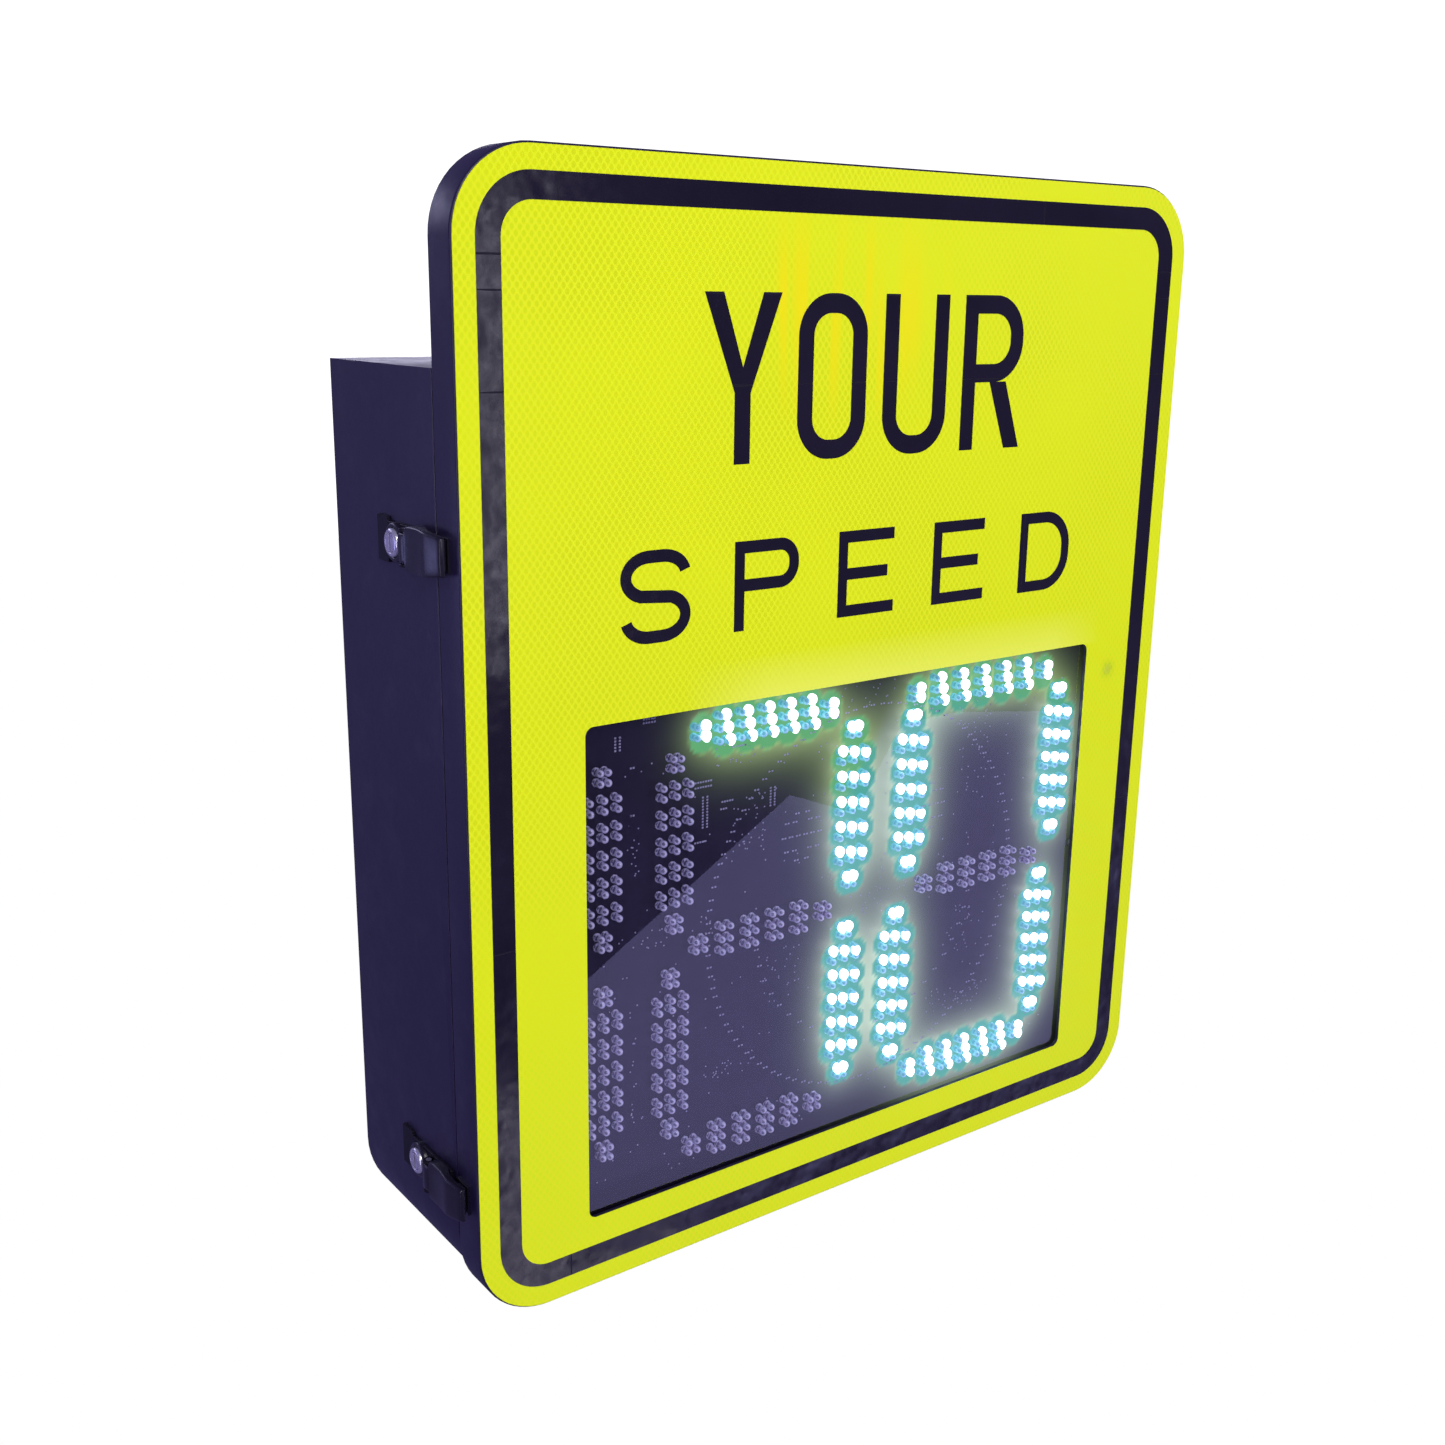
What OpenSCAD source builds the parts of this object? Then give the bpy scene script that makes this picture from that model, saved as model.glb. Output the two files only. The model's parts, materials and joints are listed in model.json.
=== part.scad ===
// Radar speed feedback sign head: sheet-metal cabinet with a hinged sign door.
// Frame: origin at the centre of the rear bolt pattern, on the cabinet's back face.
// +Z up, the sign face looks along -Y, +X is to the right seen from the front. Millimetres.

/* [Sign face] */
// Width of the sign face
sign_w = 610; // [450:1:900]
// Height of the sign face
sign_h = 724; // [560:1:1000]
// Corner radius of the sign face
corner_r = 50.8; // [20:0.1:80]
// Distance from the face edge to the black border stripe
border_in = 15; // [8:0.5:30]
// Width of the black border stripe
border_w = 15.6; // [8:0.1:25]
// Thickness of the retroreflective sheet
sheet_t = 0.4; // [0.2:0.1:1]
// Thickness of the black overlay film
film_t = 0.2; // [0.1:0.05:0.5]

/* [Legend] */
// Letter height of the upper line
word1_h = 104; // [60:1:130]
// Letter width of the upper line
word1_w = 57; // [30:1:90]
// Gap between letters of the upper line
word1_gap = 15; // [5:1:40]
// Stroke of the upper line
word1_s = 12.3; // [6:0.1:20]
// Middle of the upper line, measured down from the top of the sign
word1_z = 130; // [80:1:180]
// Letter height of the lower line
word2_h = 58; // [30:1:80]
// Letter width of the lower line
word2_w = 52; // [30:1:80]
// Gap between letters of the lower line
word2_gap = 34; // [5:1:60]
// Stroke of the lower line
word2_s = 7.9; // [4:0.1:12]
// Middle of the lower line, measured down from the top of the sign
word2_z = 259.5; // [200:0.5:300]

/* [Door] */
// Depth of the door pan
pan_d = 28; // [18:1:50]
// Sheet thickness of the door pan
pan_t = 2.5; // [1.5:0.1:4]
// Width of the pan's return flange
pan_lip = 18; // [10:1:30]
// Gap between the door and the cabinet
door_gap = 0.6; // [0.4:0.1:2]
// Window width
win_w = 451; // [300:1:500]
// Sideways offset of the window's middle
win_x = 2; // [-20:0.5:20]
// Window height
win_h = 337.5; // [200:0.5:400]
// Middle of the window, measured down from the top of the sign
win_z = 504.25; // [400:0.25:560]
// Corner radius of the window
win_r = 6; // [2:0.5:20]
// Thickness of the clear window pane
pane_t = 3; // [2:0.5:6]
// How far the pane reaches past the window on each side
pane_lap = 10; // [5:1:20]

/* [Cabinet] */
// Overall depth, face to back
total_d = 170; // [120:1:260]
// Drop from the sign's top to the cabinet's top
cab_drop = 121.5; // [0:0.5:200]
// Lower corner radius of the cabinet
cab_r = 60; // [51:0.5:80]
// Sheet thickness of the cabinet
cab_t = 2.5; // [1.5:0.1:4]
// Width of the cabinet's front flange
cab_lip = 16; // [8:1:30]
// Horizontal spacing of the rear mounting holes
mount_x = 152.4; // [80:0.1:400]
// Vertical spacing of the rear mounting holes
mount_z = 457.2; // [200:0.1:520]
// Diameter of the rear mounting holes
mount_hole = 11; // [6:0.5:16]

/* [Display] */
// Middle of the digits, measured down from the top of the sign
digit_z = 504.25; // [400:0.1:560]
// Position of the tens digit
tens_x = -73.9; // [-150:0.1:0]
// Position of the units digit
units_x = 134; // [0:0.1:200]
// Position of the hundreds column
hundreds_x = -203.6; // [-260:0.1:-150]
// Height of the upright segments' middles above and below the digit's middle
seg_half = 75; // [50:0.5:100]
// Height of the digit's outer bars above its middle
bar_half = 149.2; // [100:0.1:180]
// Emitter pitch along an upright segment
pitch_a = 18.6; // [10:0.1:30]
// Emitter pitch across an upright segment
pitch_b = 10.6; // [6:0.1:20]
// Emitter pitch across a bar
pitch_c = 8.8; // [6:0.1:20]
// Length of the tens digit's bars
bar_tens = 108.6; // [80:0.1:120]
// Length of the units digit's top bar
bar_top = 132; // [80:0.1:140]
// Length of the units digit's lowest bar
bar_low = 118; // [80:0.1:140]
// Half the distance between the left and right strokes of a lit digit
stroke_x = 76; // [50:0.5:100]
// Sideways offset of the upper strokes of both digits
up_dx = 2; // [-10:0.1:10]
// Sideways offset of the tens digit's lower strokes
tens_low_dx = -0.8; // [-15:0.1:15]
// Sideways offset of the units digit's lower strokes
units_low_dx = -7.5; // [-15:0.1:15]
// Sideways offset of the tens digit's lowest bar
tens_bar_dx = -4.4; // [-15:0.1:15]
// Sideways offset of the units digit's lowest and top bars
units_bar_dx = -6; // [-15:0.1:15]
// Depth of the emitters' tips behind the sign face
led_depth = 7.6; // [7.4:0.1:16]
// Diameter of an emitter's lens
led_w = 5.2; // [3:0.1:6]
// Height of an emitter above its board
led_h = 8.6; // [2:0.1:9]
// Distance between the two emitters of a pair
led_pair = 7; // [6:0.1:9]

/* [Latches] */
// Middle of the upper latch, measured down from the top of the sign
latch1_z = 225; // [150:0.25:350]
// Middle of the lower latch, measured down from the top of the sign
latch2_z = 636; // [450:0.5:680]
// Height of the latch base plate
latch_w = 28; // [18:0.5:40]
// Depth position of the lock's axis behind the sign face
lock_y = 75; // [70:0.5:120]
// Depth position of the lever's pivot behind the sign face
pivot_y = 54; // [50:0.5:58]

/* [Hinge] */
// Outer diameter of the hinge knuckles
knuckle_d = 8; // [6:0.5:12]
// Diameter of the hinge pin
hinge_pin_d = 4; // [2:0.5:6]
// Length of one knuckle
knuckle_l = 39.4; // [20:0.1:80]
// Gap between knuckles
knuckle_gap = 0.6; // [0.3:0.1:2]

/* [Hidden] */
$fn = 48;
eps = 0.01;
cab_h = sign_h - cab_drop;
z_top = sign_h - cab_h / 2;
z_bot = -cab_h / 2;
z_mid = z_top - sign_h / 2;
hw = sign_w / 2;
y_face = -total_d;
y_plate = y_face + sheet_t;
y_seam = y_face + pan_d;
y_pan = y_seam - door_gap;
y_back = -cab_t;
win_c = z_top - win_z;
dig_c = z_top - digit_z;
y_led = y_face + led_depth;
y_board = y_led + led_h;
board_t = 1.6;
hinge_x = hw + knuckle_d / 2 + 0.2;
hinge_y = y_seam - door_gap / 2;
hinge_n = 12;
hinge_z0 = -(hinge_n * (knuckle_l + knuckle_gap) - knuckle_gap) / 2;
panel_y = -14;
panel_z = 60;

// ---------- helpers ----------
module rrect(w, h, r) {
  square([w - 2 * r, h], center = true);
  square([w, h - 2 * r], center = true);
  for (sx = [-1, 1], sz = [-1, 1]) {
    translate([sx * (w / 2 - r), sz * (h / 2 - r)])
      circle(r);
  }
}

// A flat shape drawn in X and Z, given thickness from y0 to y1.
module slab(y0, y1) {
  translate([0, y1, 0])
    rotate([90, 0, 0])
      linear_extrude(y1 - y0)
        children();
}

module box(x0, x1, y0, y1, z0, z1) {
  translate([x0, y0, z0])
    cube([x1 - x0, y1 - y0, z1 - z0]);
}

module rod_x(x0, x1, y, z, r) {
  translate([x0, y, z])
    rotate([0, 90, 0])
      cylinder(h = x1 - x0, r = r);
}

module rod_y(x, y0, y1, z, r) {
  translate([x, y0, z])
    rotate([-90, 0, 0])
      cylinder(h = y1 - y0, r = r);
}

module rod_z(x, y, z0, z1, r) {
  translate([x, y, z0])
    cylinder(h = z1 - z0, r = r);
}

// Cabinet outline: square top corners, bottom corners rounded like the sign.
module cab_outline(inset) {
  r = cab_r - inset;
  w = sign_w - 2 * inset;
  translate([0, z_bot + inset + r])
    translate([-w / 2, 0])
      square([w, cab_h - 2 * inset - r]);
  translate([-w / 2 + r, z_bot + inset])
    square([w - 2 * r, r + 1]);
  for (sx = [-1, 1]) {
    translate([sx * (w / 2 - r), z_bot + inset + r])
      circle(r);
  }
}

// ---------- cabinet ----------
module cabinet_back() {
  color("#26233c")
  difference() {
    slab(y_back, 0) cab_outline(0);
    for (sx = [-1, 1], sz = [-1, 1]) {
      rod_y(sx * mount_x / 2, -10, 1, sz * mount_z / 2, mount_hole / 2);
    }
  }
}

// The wall band between the front edge and the back, all the way round.
module wall_band() {
  difference() {
    slab(y_seam, y_back) cab_outline(0);
    slab(y_seam - 1, y_back + 1) cab_outline(cab_t);
  }
}

// The folded corner between a side wall and the floor, on the side that sx gives.
module folded_corner(sx) {
  intersection() {
    wall_band();
    box(sx > 0 ? hw - cab_r : -hw, sx > 0 ? hw : -hw + cab_r, y_seam, y_back,
        z_bot, z_bot + cab_r);
  }
}

module cabinet_left() {
  color("#26233c")
  difference() {
    union() {
      box(-hw, -hw + cab_t, y_seam, y_back, z_bot + cab_r, -z_bot);
      folded_corner(-1);
    }
    for (zz = [latch1_z, latch2_z]) {
      rod_x(-hw - 1, -hw + 10, y_face + lock_y, z_top - zz, 7.9);
      box(-hw - 1, -hw + 4, y_face + pivot_y - 24, y_face + pivot_y - 6,
          z_top - zz - 2.6, z_top - zz + 2.6);
    }
  }
}

module cabinet_right() {
  color("#26233c")
  union() {
    box(hw - cab_t, hw, y_seam, y_back, z_bot + cab_r, -z_bot);
    folded_corner(1);
  }
}

module cabinet_top() {
  color("#26233c")
  box(-hw + cab_t, hw - cab_t, y_seam, y_back, -z_bot - cab_t, -z_bot);
}

module cabinet_floor() {
  color("#26233c")
  difference() {
    box(-hw + cab_r, hw - cab_r, y_seam, y_back, z_bot, z_bot + cab_t);
    rod_z(-180, -70, z_bot - 1, z_bot + 5, 10.1);
    rod_z(180, -70, z_bot - 1, z_bot + 5, 6.1);
  }
}

module cabinet_flange() {
  color("#26233c")
  difference() {
    slab(y_seam + 2.5, y_seam + 4.5) cab_outline(cab_t);
    slab(y_seam + 2, y_seam + 5) cab_outline(cab_lip);
  }
}

module cabinet_gasket() {
  color("#15151a")
  difference() {
    slab(y_seam - 0.3, y_seam + 2.5) cab_outline(cab_t + 1);
    slab(y_seam - 1, y_seam + 3) cab_outline(cab_lip - 1);
  }
}

module backing_bar(z) {
  difference() {
    box(-125, 125, y_back - 5, y_back, z - 22, z + 22);
    for (sx = [-1, 1]) {
      rod_y(sx * mount_x / 2, -12, 1, z, mount_hole / 2);
    }
  }
}

module backing_bars() {
  color("#a9adb0")
  for (sz = [-1, 1]) {
    backing_bar(sz * mount_z / 2);
  }
}

module equipment_panel() {
  color("#b8bcc0")
  difference() {
    slab(panel_y, panel_y + 2)
      translate([0, panel_z])
        rrect(440, 250, 6);
    for (sx = [-1, 1], sz = [-1, 1]) {
      rod_y(sx * 205, -30, 0, panel_z + sz * 110, 2.6);
    }
  }
}

module panel_standoffs() {
  color("#c9ccd0")
  for (sx = [-1, 1], sz = [-1, 1]) {
    rod_y(sx * 205, panel_y + 2, y_back, panel_z + sz * 110, 6);
    rod_y(sx * 205, panel_y - 5, panel_y + 2.5, panel_z + sz * 110, 2.5);
    rod_y(sx * 205, panel_y - 4, panel_y, panel_z + sz * 110, 4.6);
  }
}

// ---------- electronics in the cabinet ----------
module charge_controller() {
  color("#1f4f7a")
  difference() {
    union() {
      box(-190, -40, panel_y - 34, panel_y - 3, 80, 170);
      box(-198, -32, panel_y - 3, panel_y, 86, 164);
      for (i = [0:9]) {
        box(-183 + i * 15, -181 + i * 15, panel_y - 42, panel_y - 34, 92, 166);
      }
    }
    for (sx = [-194, -36]) {
      rod_y(sx, panel_y - 5, panel_y + 1, 125, 2.2);
    }
  }
}

module charge_terminals() {
  color("#2f8f4e")
  difference() {
    box(-175, -55, panel_y - 28, panel_y - 8, 68, 80);
    for (i = [0:5]) {
      rod_y(-165 + i * 20, panel_y - 29, panel_y - 20, 74, 4);
    }
  }
}

module control_board() {
  color("#1d6b3c")
  difference() {
    box(20, 180, panel_y - 11.6, panel_y - 10, 60, 170);
    for (x = [27, 173], z = [67, 163]) {
      rod_y(x, panel_y - 13, panel_y - 9, z, 1.6);
    }
  }
}

module control_parts() {
  color("#24262b")
  union() {
    for (x = [27, 173], z = [67, 163]) {
      rod_y(x, panel_y - 10, panel_y, z, 3.2);
    }
    box(80, 104, panel_y - 14.6, panel_y - 11.6, 110, 134);
    box(130, 150, panel_y - 14, panel_y - 11.6, 100, 112);
    box(34, 50, panel_y - 24, panel_y - 11.6, 126, 142);
    box(34, 70, panel_y - 22, panel_y - 11.6, 62, 74);
    box(120, 160, panel_y - 22, panel_y - 11.6, 62, 74);
    for (i = [0:2]) {
      rod_y(70 + i * 16, panel_y - 27, panel_y - 11.6, 154, 5);
    }
  }
}

module terminal_block() {
  color("#8d9094")
  difference() {
    box(-20, 120, panel_y - 32, panel_y, -40, 0);
    for (i = [0:8]) {
      box(-15 + i * 15, -13 + i * 15, panel_y - 40, panel_y - 22, -41, 1);
      rod_y(-7 + i * 14.6, panel_y - 33, panel_y - 26, -20, 2.5);
    }
  }
}

module fuse_holder() {
  color("#30323a")
  union() {
    box(-100, -60, panel_y - 22, panel_y, -35, -5);
    rod_x(-108, -52, panel_y - 26, -20, 7);
    rod_x(-114, -108, panel_y - 26, -20, 8.5);
  }
}

module switch_housing() {
  color("#202126")
  difference() {
    box(140, 190, panel_y - 40, panel_y, -45, 5);
    box(154, 176, panel_y - 41, panel_y - 26, -36, -4);
    rod_x(151, 179, panel_y - 36, -20, 1.56);
  }
}

module switch_rocker() {
  color("#a6201c")
  union() {
    translate([165, panel_y - 36, -20])
      rotate([0, 90, 0])
        translate([0, 0, -10.5])
          linear_extrude(21)
            polygon([[-14, -2], [-13.5, -7.5], [0, -4.4], [13.5, -4.4], [14, -1.5],
                     [5, 5], [-5, 5]]);
    rod_x(151.5, 178.5, panel_y - 36, -20, 1.5);
  }
}

module battery() {
  color("#2b2d31")
  difference() {
    union() {
      box(-90.5, 90.5, -101, -25, -291, -131);
      box(-90.5, 90.5, -99, -27, -131, -124);
    }
    for (x = [-70, 70]) {
      box(x - 11, x + 11, -102, -78, -139, -123);
    }
  }
}

module battery_posts() {
  color("#b9b2a0")
  for (x = [-70, 70]) {
    box(x - 7, x + 7, -97, -83, -139, -128);
    rod_z(x, -90, -128, -120, 3);
  }
}

module battery_tray() {
  color("#a9adb0")
  difference() {
    union() {
      box(-110, 110, -112, -4.5, -293.5, -291);
      box(-110, 110, -6.5, y_back, -293.5, -258);
      box(-110, 110, -112, -109.5, -291, -271);
    }
    for (x = [-90, 90]) {
      rod_y(x, -8, 0, -272, 3.2);
    }
  }
}

module battery_strap() {
  color("#17181b")
  difference() {
    box(-102, 102, -104, y_back, -202, -177);
    box(-90.8, 90.8, -101.2, -1, -203, -176);
    box(-103, -92.5, -102.5, -4.5, -203, -176);
    box(92.5, 103, -102.5, -4.5, -203, -176);
    for (x = [-97, 97]) {
      rod_y(x, -8, 0, -189.5, 2.6);
    }
  }
}

module lead(x, x2) {
  rod_z(x, -90, -119.8, -100, 2.6);
  translate([x, -90, -100])
    sphere(2.6);
  rod_y(x, -90, -32, -100, 2.6);
  translate([x, -32, -100])
    sphere(2.6);
  rod_x(min(x, x2), max(x, x2), -32, -100, 2.6);
  translate([x2, -32, -100])
    sphere(2.6);
  rod_z(x2, -32, -100, 67.8, 2.6);
}

module battery_leads() {
  color("#9c1f1c")
  union() {
    lead(-70, -165);
    for (z = [-119.8]) {
      rod_z(-70, -90, z, z + 3, 6);
    }
  }
  color("#17181b")
  union() {
    rod_z(70, -90, -119.8, -100, 2.6);
    rod_z(70, -90, -119.8, -116.8, 6);
    translate([70, -90, -100])
      sphere(2.6);
    rod_y(70, -90, -44, -100, 2.6);
    translate([70, -44, -100])
      sphere(2.6);
    rod_x(-145, 70, -44, -100, 2.6);
    translate([-145, -44, -100])
      sphere(2.6);
    rod_y(-145, -44, -32, -100, 2.6);
    translate([-145, -32, -100])
      sphere(2.6);
    rod_z(-145, -32, -100, 67.8, 2.6);
  }
}

module solar_gland() {
  color("#1a1b1f")
  difference() {
    union() {
      rod_z(-180, -70, z_bot - 8, z_bot, 14);
      rod_z(-180, -70, z_bot - 24, z_bot - 8, 11.5);
      rod_z(-180, -70, z_bot, z_bot + 14, 10);
    }
    rod_z(-180, -70, z_bot - 30, z_bot + 20, 4.5);
  }
}

module gland_locknut() {
  color("#1a1b1f")
  translate([-180, -70, z_bot + cab_t])
    difference() {
      cylinder(h = 5, r = 14.5, $fn = 6);
      translate([0, 0, -1])
        cylinder(h = 7, r = 10);
    }
}

module vent_plug() {
  color("#4a4c52")
  union() {
    rod_z(180, -70, z_bot - 6, z_bot, 9.5);
    rod_z(180, -70, z_bot, z_bot + 8, 6);
    rod_z(180, -70, z_bot + cab_t, z_bot + 6.5, 8.6);
  }
}

// ---------- hinge ----------
module knuckles(first) {
  for (i = [first:2:hinge_n - 1]) {
    z0 = hinge_z0 + i * (knuckle_l + knuckle_gap);
    rod_z(hinge_x, hinge_y, z0, z0 + knuckle_l, knuckle_d / 2);
  }
}

module hinge_leaf(first, y0, y1, hole) {
  difference() {
    union() {
      for (i = [first:2:hinge_n - 1]) {
        z0 = hinge_z0 + i * (knuckle_l + knuckle_gap);
        box(hw, hw + 1.5, min(hinge_y, y0), max(hinge_y, y1), z0, z0 + knuckle_l);
      }
      box(hw, hw + 1.5, y0, y1, hinge_z0, -hinge_z0);
      knuckles(first);
    }
    rod_z(hinge_x, hinge_y, hinge_z0 - 1, -hinge_z0 + 1, hole / 2);
    for (i = [0:5]) {
      rod_x(hw - 1, hw + 3, (y0 + y1) / 2, -200 + i * 80, 2.1);
    }
  }
}

// Six rivets on a leaf: the part through the leaf and the head on it.
module rivets(y) {
  for (i = [0:5]) {
    rod_x(hw, hw + 1.5, y, -200 + i * 80, 2.1);
    rod_x(hw + 1.5, hw + 2.7, y, -200 + i * 80, 4);
  }
}

module hinge_leaf_cabinet() {
  color("#2a2740")
  union() {
    hinge_leaf(0, y_seam + 5, y_seam + 24, hinge_pin_d);
    rivets(y_seam + 14.5);
  }
}

module hinge_leaf_door() {
  color("#2a2740")
  union() {
    hinge_leaf(1, y_pan - 23, y_pan - 5, hinge_pin_d + 0.12);
    rivets(y_pan - 14);
  }
}

module hinge_pin() {
  color("#c2c4c8")
  rod_z(hinge_x, hinge_y, hinge_z0, -hinge_z0, hinge_pin_d / 2);
}

// ---------- latches, drawn for a latch whose middle is at z = 0 ----------
module latch_base() {
  yp = y_face + pivot_y;
  yl = y_face + lock_y;
  difference() {
    union() {
      box(-hw - 2.5, -hw, y_face + 88, y_face + 102.5, -latch_w / 2, latch_w / 2);
      box(-hw - 2.5, -hw, y_face + 32, y_face + 88.5, -11.5, 11.5);
      rod_x(-hw - 5.5, -hw, yl, 0, 12);
      for (s = [-1, 1]) {
        box(-hw - 7, -hw - 2, yp - 4, yp + 4, s * 10.5 - 0.9, s * 10.5 + 0.9);
        rod_z(-hw - 7, yp, s * 10.5 - 0.9, s * 10.5 + 0.9, 4);
      }
    }
    rod_x(-hw - 10, -hw + 1, yl, 0, 7.9);
    rod_x(-hw - 10, -hw - 3.5, yl, 0, 9);
    rod_z(-hw - 7, yp, -20, 20, 2);
    box(-hw - 5, -hw + 1, yp - 24, yp - 6, -2.6, 2.6);
  }
}

module latch_pin() {
  rod_z(-hw - 7, y_face + pivot_y, -11.4, 11.4, 2);
}

module lock_housing() {
  yl = y_face + lock_y;
  difference() {
    union() {
      rod_x(-hw - 7.5, -hw - 3.5, yl, 0, 8.7);
      rod_x(-hw - 3.5, -hw + 7, yl, 0, 7.8);
      translate([-hw + cab_t, yl, 0])
        rotate([0, 90, 0])
          cylinder(h = 3, r = 11, $fn = 6);
    }
    rod_x(-hw - 8, -hw + 8, yl, 0, 5.8);
  }
}

module lock_plug() {
  yl = y_face + lock_y;
  difference() {
    union() {
      rod_x(-hw - 7.2, -hw + 7.2, yl, 0, 5.74);
      box(-hw + 7, -hw + 11, yl - 3, yl + 3, -3, 3);
    }
    box(-hw - 8, -hw - 3, yl - 1, yl + 1, -4, 4);
  }
}

module lock_cam() {
  yl = y_face + lock_y;
  difference() {
    union() {
      box(-hw + 7.3, -hw + 9.3, yl - 5, yl + 5, 0, 24);
      box(-hw + 7.3, -hw + 9.3, yl - 0.2, yl + 2.2, 20, 32);
      rod_x(-hw + 7.3, -hw + 9.3, yl, 0, 7);
      rod_x(-hw + 9.3, -hw + 12, yl, 0, 5.4);
    }
    box(-hw + 6, -hw + 11, yl - 3, yl + 3, -3, 3);
  }
}

// Lever: side profile in X and Y, cut to a waisted outline in Y and Z.
module latch_lever() {
  yp = y_face + pivot_y;
  yf = y_face;
  x0 = -hw;
  difference() {
    intersection() {
      translate([0, 0, -20])
        linear_extrude(40) {
          translate([x0 - 7, yp])
            circle(4.3);
          polygon([
            [x0 - 3.4, yp], [x0 - 11.1, yp + 0.4], [x0 - 10, yf + 47],
            [x0 - 9.6, yf + 42], [x0 - 9.9, yf + 34], [x0 - 10.7, yf + 26],
            [x0 - 10.6, yf + 22], [x0 - 9.4, yf + 14], [x0 - 8.2, yf + 9],
            [x0 - 7.2, yf + 8], [x0 - 4.6, yf + 8], [x0 - 4.6, yf + 12],
            [x0 - 2.1, yf + 12], [x0 - 2.1, yf + 16.5], [x0 - 6, yf + 16.5],
            [x0 - 6, yf + 26], [x0 - 3.4, yf + 34]
          ]);
        }
      rotate([0, -90, 0])
        translate([0, 0, hw - 5])
          linear_extrude(40)
            polygon([
              [-9.2, yp + 8], [9.2, yp + 8], [9.2, yf + 49], [13.4, yf + 48],
              [14, yf + 40], [13.7, yf + 28], [12.6, yf + 18], [11.2, yf + 5],
              [-11.2, yf + 5], [-12.6, yf + 18], [-13.7, yf + 28],
              [-14, yf + 40], [-13.4, yf + 48], [-9.2, yf + 49]
            ]);
    }
    rod_z(x0 - 7, yp, -30, 30, 2.06);
  }
  difference() {
    box(x0 - 6, x0 + 11, yp - 13, yp - 8, -2, 2);
    box(x0 + 6.6, x0 + 10, yp - 14, yp - 7, -1, 3);
  }
}

module keeper() {
  y0 = y_face + 11;
  difference() {
    union() {
      box(-hw - 1.6, -hw, y0, y0 + 15.5, -10, 10);
      box(-hw - 4.4, -hw, y0 + 7.2, y0 + 11.5, -8, 8);
    }
    for (s = [-1, 1]) {
      rod_x(-hw - 3, -hw + 1, y0 + 3.4, s * 6, 1.2);
    }
  }
}

module at_latch1() {
  translate([0, 0, z_top - latch1_z])
    children();
}

module at_latch2() {
  translate([0, 0, z_top - latch2_z])
    children();
}

module latch_base_upper() {
  color("#1b1a28")
  at_latch1() latch_base();
}

module latch_base_lower() {
  color("#1b1a28")
  at_latch2() latch_base();
}

module latch_pin_upper() {
  color("#9a9ca2")
  at_latch1() latch_pin();
}

module latch_pin_lower() {
  color("#9a9ca2")
  at_latch2() latch_pin();
}

module latch_lever_upper() {
  color("#1b1a28")
  at_latch1() latch_lever();
}

module latch_lever_lower() {
  color("#1b1a28")
  at_latch2() latch_lever();
}

module lock_housing_upper() {
  color("#c8c6d4")
  at_latch1() lock_housing();
}

module lock_housing_lower() {
  color("#c8c6d4")
  at_latch2() lock_housing();
}

module lock_plug_upper() {
  color("#b5b2c4")
  at_latch1() lock_plug();
}

module lock_plug_lower() {
  color("#b5b2c4")
  at_latch2() lock_plug();
}

module lock_cam_upper() {
  color("#9a9ca2")
  at_latch1() lock_cam();
}

module lock_cam_lower() {
  color("#9a9ca2")
  at_latch2() lock_cam();
}

module keeper_upper() {
  color("#1b1a28")
  at_latch1() keeper();
}

module keeper_lower() {
  color("#1b1a28")
  at_latch2() keeper();
}

// ---------- door ----------
module door_pan() {
  lip_w = sign_w - 2 * pan_lip;
  cross = cab_h / 2 - pan_lip;
  color("#26233c")
  difference() {
    translate([0, 0, z_mid])
      slab(y_plate, y_pan) rrect(sign_w, sign_h, corner_r);
    translate([0, 0, z_mid])
      slab(y_plate + pan_t, y_pan - 2)
        rrect(sign_w - 2 * pan_t, sign_h - 2 * pan_t, corner_r - pan_t);
    slab(y_pan - 3, y_pan + 1)
      translate([0, (z_bot + pan_lip + cross) / 2])
        rrect(lip_w, cross - z_bot - pan_lip, 30);
    slab(y_pan - 3, y_pan + 1)
      translate([0, (cab_h / 2 + 2 + z_top - pan_lip) / 2])
        rrect(lip_w, z_top - pan_lip - cab_h / 2 - 2, 30);
    slab(y_face - 1, y_plate + pan_t + 1)
      translate([win_x, win_c])
        rrect(win_w, win_h, win_r);
    rod_y(253, y_face - 1, y_face + 5, z_top - 359, 3.6);
    slab(y_face - 1, y_plate + pan_t + 1)
      translate([215, z_top - 150])
        rrect(60, 80, 4);
  }
}

module door_back_panel() {
  color("#26233c")
  difference() {
    slab(y_pan - 4, y_pan - 2)
      translate([0, (cab_h / 2 - 8 + z_top - pan_t - 0.5) / 2])
        rrect(sign_w - 2 * pan_t - 1, z_top - cab_h / 2 + 8 - pan_t - 0.5, corner_r - pan_t - 0.5);
    for (sx = [-1, 0, 1], z = [cab_h / 2 - 3, z_top - 10]) {
      rod_y(sx * 220, y_pan - 5, y_pan - 1, z, 1.6);
    }
  }
}

module sign_sheet() {
  color("#dfe81e")
  difference() {
    translate([0, 0, z_mid])
      slab(y_face, y_plate) rrect(sign_w - 2.4, sign_h - 2.4, corner_r - 1.2);
    slab(y_face - 1, y_plate + 1)
      translate([win_x, win_c])
        rrect(win_w, win_h, win_r);
    rod_y(253, y_face - 1, y_face + 1, z_top - 359, 3.6);
  }
}

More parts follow.
